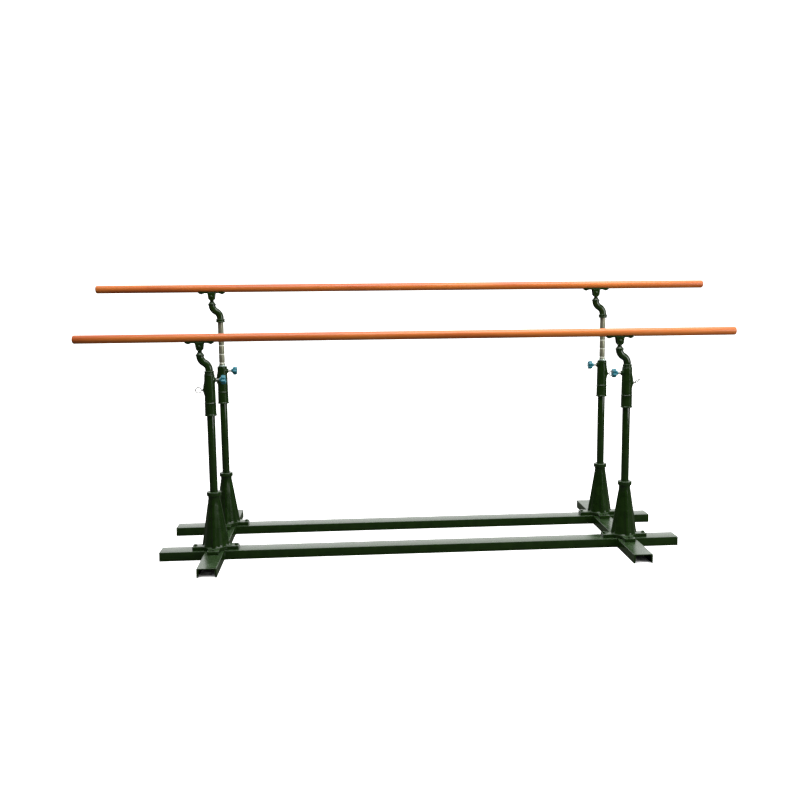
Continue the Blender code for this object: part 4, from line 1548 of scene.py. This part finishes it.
@dataclass
class SwingArm:
    """The S-shaped arm that turns on the tube and carries the swivel head."""

    offset: float = 0.044
    collar_height: float = 0.020
    collar_radius: float = 0.0262
    recess_radius: float = 0.0199
    recess_depth: float = 0.0095
    bar_radius: float = 0.0200
    bend_start: float = 0.024
    bend_end: float = 0.099
    head_start: float = 0.097
    head_radius: float = 0.0224
    height: float = 0.117
    grub_radius: float = 0.0036

    def bend(self) -> list[Point2]:
        """Return the centre line as (x, z) points: two equal arcs between straights.

        Returns:
            The centre line's points.
        """
        rise = self.bend_end - self.bend_start
        angle = pi - 2 * acos(self.offset / sqrt(self.offset**2 + rise**2))
        radius = rise / (2 * sin(angle))
        steps = 12
        path = [(0.0, self.collar_height * 0.6)]
        for step in range(steps + 1):
            turn = angle * step / steps
            path.append((-radius * (1 - cos(turn)), self.bend_start + radius * sin(turn)))
        for step in range(1, steps + 1):
            turn = angle * (1 - step / steps)
            path.append((-self.offset + radius * (1 - cos(turn)), self.bend_end - radius * sin(turn)))
        return path + [(-self.offset, self.bend_end + 0.003)]

    def body(self) -> Stock:
        """Return the arm. Its origin is on the tube's axis at the collar's underside.

        Returns:
            The arm.
        """
        stock = Stock()
        path = [Vector((x, 0, z)) for x, z in self.bend()]
        stock.sweep(path, self.bar_radius, 48)
        collar = [
            (self.recess_radius, self.recess_depth),
            (self.recess_radius, 0.0),
            (self.collar_radius, 0.0),
            (self.collar_radius + 0.0004, 0.0046),
            (self.collar_radius - 0.0022, 0.0058),
            (self.collar_radius - 0.0022, 0.0122),
            (self.collar_radius, 0.0136),
            (self.collar_radius, 0.0176),
            (self.bar_radius + 0.0004, self.collar_height - 0.001),
            (self.bar_radius - 0.0012, self.collar_height + 0.003),
        ]
        radii = [0, 0.0006, 0.0012, 0.0012, 0.0012, 0.0012, 0.0012, 0.0012, 0.001, 0]
        stock.turn(rounded(collar, radii, 4), HERE, 64)
        head = [
            (self.bar_radius - 0.0012, self.head_start - 0.003),
            (self.bar_radius + 0.0006, self.head_start),
            (self.head_radius, self.head_start + 0.0030),
            (self.head_radius, self.head_start + 0.0080),
            (self.head_radius - 0.0020, self.head_start + 0.0090),
            (0.0125, self.height),
            (0.0092, self.height - 0.0003),
            (0.0090, self.height - 0.003),
        ]
        radii = [0, 0.003, 0.0016, 0.0014, 0.0014, 0.002, 0.0004, 0]
        stock.turn(rounded(head, radii, 4), move(x=-self.offset), 64)
        return stock

    def grub_screw(self) -> Stock:
        """Return the set screw that stands in the side of the head.

        Returns:
            The screw.
        """
        reach, radius = self.head_radius, self.grub_radius
        profile = [(radius, reach - 0.006), (radius, reach + 0.0008), (0.0021, reach + 0.0008)]
        profile += [(0.0019, reach - 0.001)]
        place = move(x=-self.offset, z=self.head_start + 0.0048) @ spin(radians(-38), "Z") @ TO_X
        return Stock().turn(rounded(profile, 0.0004, 2), place, 24)

    def build(self, station: Station) -> None:
        """Build one arm.

        Args:
            station: The support that it belongs to.
        """
        node = f"arm_{station.tag}"
        place = station.upright @ move(z=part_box(node)[0].z)
        body, grub = self.body(), self.grub_screw()
        body.mesh.transform(place)
        grub.mesh.transform(place)
        add_piece(f"swing_arm_{station.tag}", body, CAST, f"{station.tag}_arm", node)
        add_piece(f"grub_screw_{station.tag}", grub, CAST, f"{station.tag}_arm")


@dataclass
class SwivelHead:
    """The head that swivels on the arm, and the cross pin through it."""

    spindle_radius: float = 0.0085
    spindle_length: float = 0.026
    waist_radius: float = 0.0108
    tongue_width: float = 0.020
    tongue_radius: float = 0.0135
    pin_radius: float = 0.005
    pin_head_radius: float = 0.008
    pin_head_height: float = 0.0044
    shoulder_radius: float = 0.0118
    cotter_wire: float = 0.00085

    def head(self, pivot: float) -> Stock:
        """Return the head. Its origin is at the top of the arm, with the pivot above it.

        Args:
            pivot: Height of the pivot above the arm.

        Returns:
            The head.
        """
        half = self.tongue_width / 2
        waist, eye = self.waist_radius, self.tongue_radius
        shoulder = self.shoulder_radius
        neck = [(self.spindle_radius, -self.spindle_length), (self.spindle_radius, GAP), (shoulder, GAP)]
        neck += [(shoulder, 0.0028), (waist, 0.0040), (waist, 0.009)]
        stock = Stock().turn(rounded(neck, [0, 0, 0.001, 0.001, 0.0015, 0], 3), HERE, 48)
        outline: list[Point2] = [(waist * 0.93, 0.0045), (waist * 0.93, 0.009), (eye * 0.93, 0.0185)]
        for step in range(17):
            turn = pi * (step / 16) * 1.16 - pi * 0.08
            outline.append((eye * cos(turn), pivot + eye * sin(turn)))
        outline += [(-eye * 0.93, 0.0185), (-waist * 0.93, 0.009), (-waist * 0.93, 0.0045)]
        return stock.slab(outline, -half, half, 0.0012, spin(pi / 2, "X"))

    def cross_pin(self, low: float, high: float) -> Stock:
        """Return the pin along +Y between two places, with its head at the low one.

        Args:
            low: Place of the pin's head.
            high: Place of the pin's other end.

        Returns:
            The pin with its split pin.
        """
        flat = low + self.pin_head_height
        profile = [
            (0.0020, low),
            (self.pin_head_radius * 0.66, low + 0.0006),
            (self.pin_head_radius, low + 0.0026),
            (self.pin_head_radius, flat),
            (self.pin_radius, flat),
            (self.pin_radius, high - 0.001),
            (self.pin_radius - 0.001, high),
        ]
        bends = [0, 0.003, 0.001, 0.0004, 0, 0.0006, 0]
        stock = Stock().turn(rounded(profile, bends, 3), spin(-pi / 2, "X"), 40)
        hole = high - 0.0028
        wire = self.cotter_wire
        for side in (-1, 1):
            leg = [Vector((side * wire, hole, 0.0075)), Vector((side * wire, hole, -0.0055))]
            leg += [Vector((side * 0.0030, hole, -0.0082)), Vector((side * 0.0046, hole, -0.0090))]
            stock.sweep(leg, wire, 8)
        eye = []
        for step in range(15):
            turn = radians(-60 + 300 * step / 14)
            eye.append(Vector((0.0021 * cos(turn), hole, 0.0092 + 0.0021 * sin(turn))))
        return stock.sweep(eye, wire, 8)

    def build(self, station: Station) -> None:
        """Build one head with its cross pin.

        Args:
            station: The support that it belongs to.
        """
        head_node, pin_node = f"swivel_head_{station.tag}", f"cross_pin_{station.tag}"
        centre = middle_of(head_node)
        pin_low, pin_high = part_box(pin_node)
        pivot = (pin_low.z + pin_high.z) / 2
        top_of_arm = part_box(f"arm_{station.tag}")[1].z
        head = self.head(pivot - top_of_arm)
        head.mesh.transform(move(centre.x, centre.y, top_of_arm))
        add_piece(f"swivel_{station.tag}", head, CAST, f"{station.tag}_head", head_node)
        pin = self.cross_pin(pin_low.y - centre.y, pin_high.y - centre.y)
        pin.mesh.transform(move(centre.x, centre.y, pivot))
        add_piece(f"headed_pin_{station.tag}", pin, CAST, f"{station.tag}_head", pin_node)


# ---------------------------------------------------------------- saddle and rail


@dataclass
class Saddle:
    """The cradle under a rail: a trough, two drooping screw lobes and a fork."""

    half_length: float = 0.075
    seat_radius: float = 0.0223
    lip_half: float = 0.0165
    lip_drop: float = 0.0155
    floor: float = 0.0268
    lobe_place: float = 0.058
    lobe_drop: float = 0.0308
    lobe_half: float = 0.0175
    fork_width: float = 0.040
    fork_slot: float = 0.0214
    fork_top_half: float = 0.0212
    fork_foot_half: float = 0.0175
    fork_depth: float = 0.066
    bridge_depth: float = 0.0289
    screw_radius: float = 0.0062

    def depth_at(self, x: float) -> float:
        """Return how far below the rail's axis the trough's underside lies."""
        lobe = (self.lobe_drop - self.floor) * hump(abs(x) - self.lobe_place, self.lobe_half, 0.004)
        return self.floor + lobe

    def section(self, x: float, pinch: float) -> Loop:
        """Return the trough's section at x.

        Args:
            x: Distance from the saddle's middle.
            pinch: How far the section is drawn in, at the rounded ends.

        Returns:
            The closed loop of the section.
        """
        half = self.lip_half * (1 - 0.42 * pinch)
        lobe = hump(abs(x) - self.lobe_place, self.lobe_half, 0.004)
        depth = self.depth_at(x) - pinch * 0.0042
        shoulder = half * (0.97 - 0.10 * lobe)
        outer = [
            (half, -self.lip_drop - 0.0004),
            (half, -self.floor * 0.80),
            (shoulder * 0.86, -depth),
        ]
        outer = [(-y, z) for y, z in outer] + outer[::-1]
        curve = rounded(outer, [0, 0.006, 0.006, 0.006, 0.006, 0], 5)
        lip = asin(min(0.95, (half - 0.0006) / self.seat_radius))
        steps = 14
        for step in range(steps + 1):
            turn = lip * (1 - 2 * step / steps)
            curve.append((self.seat_radius * sin(turn), -self.seat_radius * cos(turn)))
        return [Vector((x, y, z)) for y, z in curve]

    def cradle(self) -> Stock:
        """Return the trough and its lobes. Its origin is on the rail's axis.

        Returns:
            The trough.
        """
        reach = self.half_length
        loops = []
        count = 56
        for step in range(count + 1):
            x = reach * sin(pi / 2 * (2 * step / count - 1))
            pinch = max(0.0, (abs(x) - (reach - 0.011)) / 0.011)
            loops.append(self.section(x, 1 - sqrt(max(0.0, 1 - pinch**2))))
        return Stock().loft(loops)

    def fork(self, stock: Stock) -> None:
        """Add the two cheeks and the bridge between them.

        Args:
            stock: The stock to add to.
        """
        foot = -self.fork_depth
        corner = self.fork_foot_half
        side = [(corner * 0.58, foot), (corner, foot + 0.0085), (self.fork_top_half, -self.floor - 0.0015)]
        side += [(self.fork_top_half + 0.003, -self.floor + 0.001), (self.fork_top_half, -0.0222)]
        outline = [*side, *[(-x, z) for x, z in reversed(side)]]
        bends = [0.003, 0.004, 0.006, 0.0022, 0.0022]
        outline = rounded(outline, bends + bends[::-1], 4, True)
        lay = spin(pi / 2, "X")
        inner, outer = self.fork_slot / 2, self.fork_width / 2
        for way in (-1, 1):
            low, high = sorted((way * inner, way * outer))
            stock.slab(outline, low, high, 0.0017, lay)
        top = self.fork_top_half - 0.001
        bridge = [(-top, -self.bridge_depth), (top, -self.bridge_depth), (top, -0.0235), (-top, -0.0235)]
        stock.slab(rounded(bridge, 0.0015, 2, True), -inner - 0.001, inner + 0.001, 0.0, lay)

    def screws(self) -> Stock:
        """Return the two screw heads under the lobes, each with a cross slot sunk in it.

        Returns:
            The screws.
        """
        stock = Stock()
        for way in (-1, 1):
            radius = self.screw_radius
            profile = [(radius, -0.001), (radius, 0.0006), (radius * 0.86, 0.0016), (0.0030, 0.0020)]
            profile += [(0.0026, 0.0006), (0.0010, 0.0004)]
            place = move(x=way * self.lobe_place, z=-self.lobe_drop) @ spin(pi, "X")
            stock.turn(rounded(profile, [0, 0.0006, 0.001, 0.0003, 0.0003, 0], 3), place, 32)
        return stock

    def build(self, row: Row, end: End) -> None:
        """Build one saddle with its screws.

        Args:
            row: The rail that it belongs to.
            end: The rail's end.
        """
        node = f"saddle_{row.value}_{end.value}"
        centre = middle_of(node)
        rail_z = middle_of(f"rail_{row.value}").z
        place = move(centre.x, centre.y, rail_z)
        cradle = self.cradle()
        self.fork(cradle)
        cradle.mesh.transform(place)
        add_piece(f"cradle_{row.value}_{end.value}", cradle, CAST, f"{row.value}_rail", node)
        screws = self.screws()
        screws.mesh.transform(place)
        add_piece(f"saddle_screws_{row.value}_{end.value}", screws, CAST, f"{row.value}_rail")


@dataclass
class Rail:
    """A round rail with rounded ends."""

    end_round: float = 0.009
    sides: int = 80

    def build(self, row: Row) -> None:
        """Build one rail.

        Args:
            row: The rail.
        """
        node = f"rail_{row.value}"
        low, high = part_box(node)
        radius, half = (high.z - low.z) / 2, (high.x - low.x) / 2
        ends = rounded([(0.001, -half), (radius, -half), (radius, 0.0)], self.end_round, 8)[:-1]
        runs = [(radius, half * share) for share in (-0.75, -0.5, -0.25, 0.0, 0.25, 0.5, 0.75)]
        profile = [*ends, *runs, *[(r, -z) for r, z in reversed(ends)]]
        centre = (low + high) / 2
        stock = Stock().turn(profile, Matrix.Translation(centre) @ TO_X, self.sides)
        add_piece(f"round_rail_{row.value}", stock, RAIL_COAT, f"{row.value}_rail", node)


# ---------------------------------------------------------------- room


@dataclass
class Camera:
    """The camera, placed by its position, heading and lens."""

    place: tuple[float, float, float] = (-0.3406, -4.9168, 1.4506)
    yaw: float = 0.0758
    pitch: float = 0.1306
    roll: float = -0.0090
    lens: float = 40.05
    sensor_width: float = 36.0
    shift: tuple[float, float] = (-0.0208, -0.0018)
    farthest: float = 60.0

    def build(self) -> None:
        """Make the camera and hand it to the scene."""
        data = bpy.data.cameras.new("camera")
        data.lens, data.sensor_width = self.lens, self.sensor_width
        data.shift_x, data.shift_y = self.shift
        data.clip_end = self.farthest
        camera = bpy.data.objects.new("camera", data)
        ahead = Vector((sin(self.yaw) * cos(self.pitch), cos(self.yaw) * cos(self.pitch), -sin(self.pitch)))
        right = Vector((cos(self.yaw), -sin(self.yaw), 0.0))
        above = right.cross(ahead)
        across = right * cos(self.roll) + above * sin(self.roll)
        upward = above * cos(self.roll) - right * sin(self.roll)
        axes = Matrix((across, upward, -ahead)).transposed().to_4x4()
        camera.matrix_world = Matrix.Translation(self.place) @ axes
        bpy.context.scene.collection.objects.link(camera)
        bpy.context.scene.camera = camera


@dataclass(frozen=True)
class Softbox:
    """One square or oblong studio light."""

    name: str
    place: tuple[float, float, float]
    target: tuple[float, float, float]
    size: tuple[float, float]
    watts: float

    def build(self) -> None:
        """Hang the light."""
        data = bpy.data.lights.new(self.name, "AREA")
        data.shape = "RECTANGLE"
        data.size, data.size_y = self.size
        data.energy = self.watts
        lamp = bpy.data.objects.new(self.name, data)
        aim = Vector(self.target) - Vector(self.place)
        lamp.matrix_world = Matrix.Translation(self.place) @ aim.to_track_quat("-Z", "Y").to_matrix().to_4x4()
        bpy.context.scene.collection.objects.link(lamp)


@dataclass
class Studio:
    """The pale floor, the soft surroundings and the lights."""

    floor_half: float = 30.0
    floor_colour: Colour = (0.86, 0.86, 0.85)
    floor_mottle: float = 0.985
    floor_bounce: Colour = (0.07, 0.075, 0.06)
    floor_glow: tuple[float, float] = (0.9, 1.0)
    glow_reach: tuple[float, float] = (1.6, 4.5)
    shade_reach: float = 0.2
    shade_limits: tuple[float, float] = (0.10, 0.42)
    bright: float = 1.7
    dim: float = 0.03
    overhead_rise: tuple[float, float] = (0.40, 0.95)
    overhead_share: float = 0.6
    beyond_rise: tuple[float, float] = (0.25, 0.85)
    lights: tuple[Softbox, ...] = (
        Softbox("overhead", (0.6, -1.2, 4.4), (0.0, 0.0, 0.6), (5.0, 2.4), 175.0),
        Softbox("right_key", (5.2, -3.6, 2.2), (0.2, 0.0, 0.7), (2.6, 2.8), 175.0),
    )

    def add_floor(self) -> None:
        """Lay the floor: a pale glow to the camera with painted shade where it is hemmed in, and a dark floor
        to every other ray.
        """
        half = self.floor_half
        mesh = bpy.data.meshes.new("studio_floor")
        corners = [(-half, -half, 0), (half, -half, 0), (half, half, 0), (-half, half, 0)]
        mesh.from_pydata(corners, [], [(0, 1, 2, 3)])
        floor = bpy.data.objects.new("studio_floor", mesh)
        bpy.context.scene.collection.objects.link(floor)
        made, wiring, shader = new_material("floor_paper")
        place = wiring.place()
        cloud = wiring.noise(place, 1.2, 3.0)
        near = tuple(value * self.floor_mottle for value in self.floor_colour)
        paper = wiring.blend(cloud, opaque(near), opaque(self.floor_colour))
        seen = wiring.node("ShaderNodeLightPath").outputs["Is Camera Ray"]
        wiring.feed(shader.inputs["Base Color"], wiring.blend(seen, opaque(self.floor_bounce), paper))
        distance = wiring.node("ShaderNodeVectorMath", {0: place}, operation="LENGTH").outputs["Value"]
        glow = wiring.band(distance, *self.glow_reach, *self.floor_glow)
        # Painted shade: the glow is cut down where ambient occlusion finds the floor closely hemmed in, as
        # inside the channels.
        occlusion_shade = wiring.node("ShaderNodeAmbientOcclusion", {"Distance": self.shade_reach}, samples=8)
        glow = wiring.maths("MULTIPLY", glow, wiring.band(occlusion_shade.outputs["AO"], *self.shade_limits))
        black = opaque((0.0, 0.0, 0.0))
        wiring.feed(shader.inputs["Emission Color"], wiring.blend(seen, black, glow))
        shader.inputs["Emission Strength"].default_value = 1.0
        shader.inputs["Roughness"].default_value = 0.9
        shader.inputs["Specular IOR Level"].default_value = 0.1
        mesh.materials.append(made)

    def add_surroundings(self) -> None:
        """Make the surroundings: bright above and beyond, dimmer in front and low down."""
        world = bpy.data.worlds.new("studio")
        bpy.context.scene.world = world
        world.use_nodes = True
        wiring = Wiring(world.node_tree)
        direction = wiring.node("ShaderNodeTexCoord").outputs["Generated"]
        parts = wiring.node("ShaderNodeSeparateXYZ", {0: direction})
        overhead = wiring.band(parts.outputs["Z"], *self.overhead_rise, 0.0, self.overhead_share)
        beyond = wiring.band(parts.outputs["Y"], *self.beyond_rise)
        light = wiring.band(wiring.maths("MAXIMUM", overhead, beyond), 0.0, 1.0, self.dim, self.bright)
        seen = wiring.node("ShaderNodeLightPath").outputs["Is Camera Ray"]
        level = wiring.maths("MAXIMUM", light, seen)
        background = world.node_tree.nodes["Background"]
        background.inputs["Color"].default_value = (1.0, 1.0, 1.0, 1.0)
        wiring.feed(background.inputs["Strength"], level)

    def build(self) -> None:
        """Set up the whole studio."""
        self.add_floor()
        self.add_surroundings()
        for light in self.lights:
            light.build()
        bpy.context.scene.view_settings.view_transform = "Standard"


# ---------------------------------------------------------------- assembly


def dress_clamp_pads() -> None:
    """Give the clamp pads, which stay as they are, their steel."""
    for station in STATIONS:
        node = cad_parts[f"clamp_pad_{station.tag}"]
        node.data.materials.clear()
        node.data.materials.append(SHOP.ready[TURNED_STEEL.finish])
        log.info("clamp_pad_%s keeps its shape", station.tag)


def main() -> None:
    """Build the camera, the studio and every piece."""
    logging.basicConfig(level=logging.INFO, format="%(name)s: %(message)s")
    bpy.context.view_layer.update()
    Camera().build()
    Studio().build()
    SHOP.build()
    ChannelFrame().build()
    pedestal, sleeve, knob, pin = Pedestal(), Sleeve(), StarKnob(), PullPin()
    tube, arm, head = InnerTube(), SwingArm(), SwivelHead()
    for station in STATIONS:
        for part in (pedestal, sleeve, knob, pin, tube, arm, head):
            part.build(station)
    saddle, rail = Saddle(), Rail()
    for row in Row:
        rail.build(row)
        for end in End:
            saddle.build(row, end)
    dress_clamp_pads()


if __name__ == "__main__":
    main()
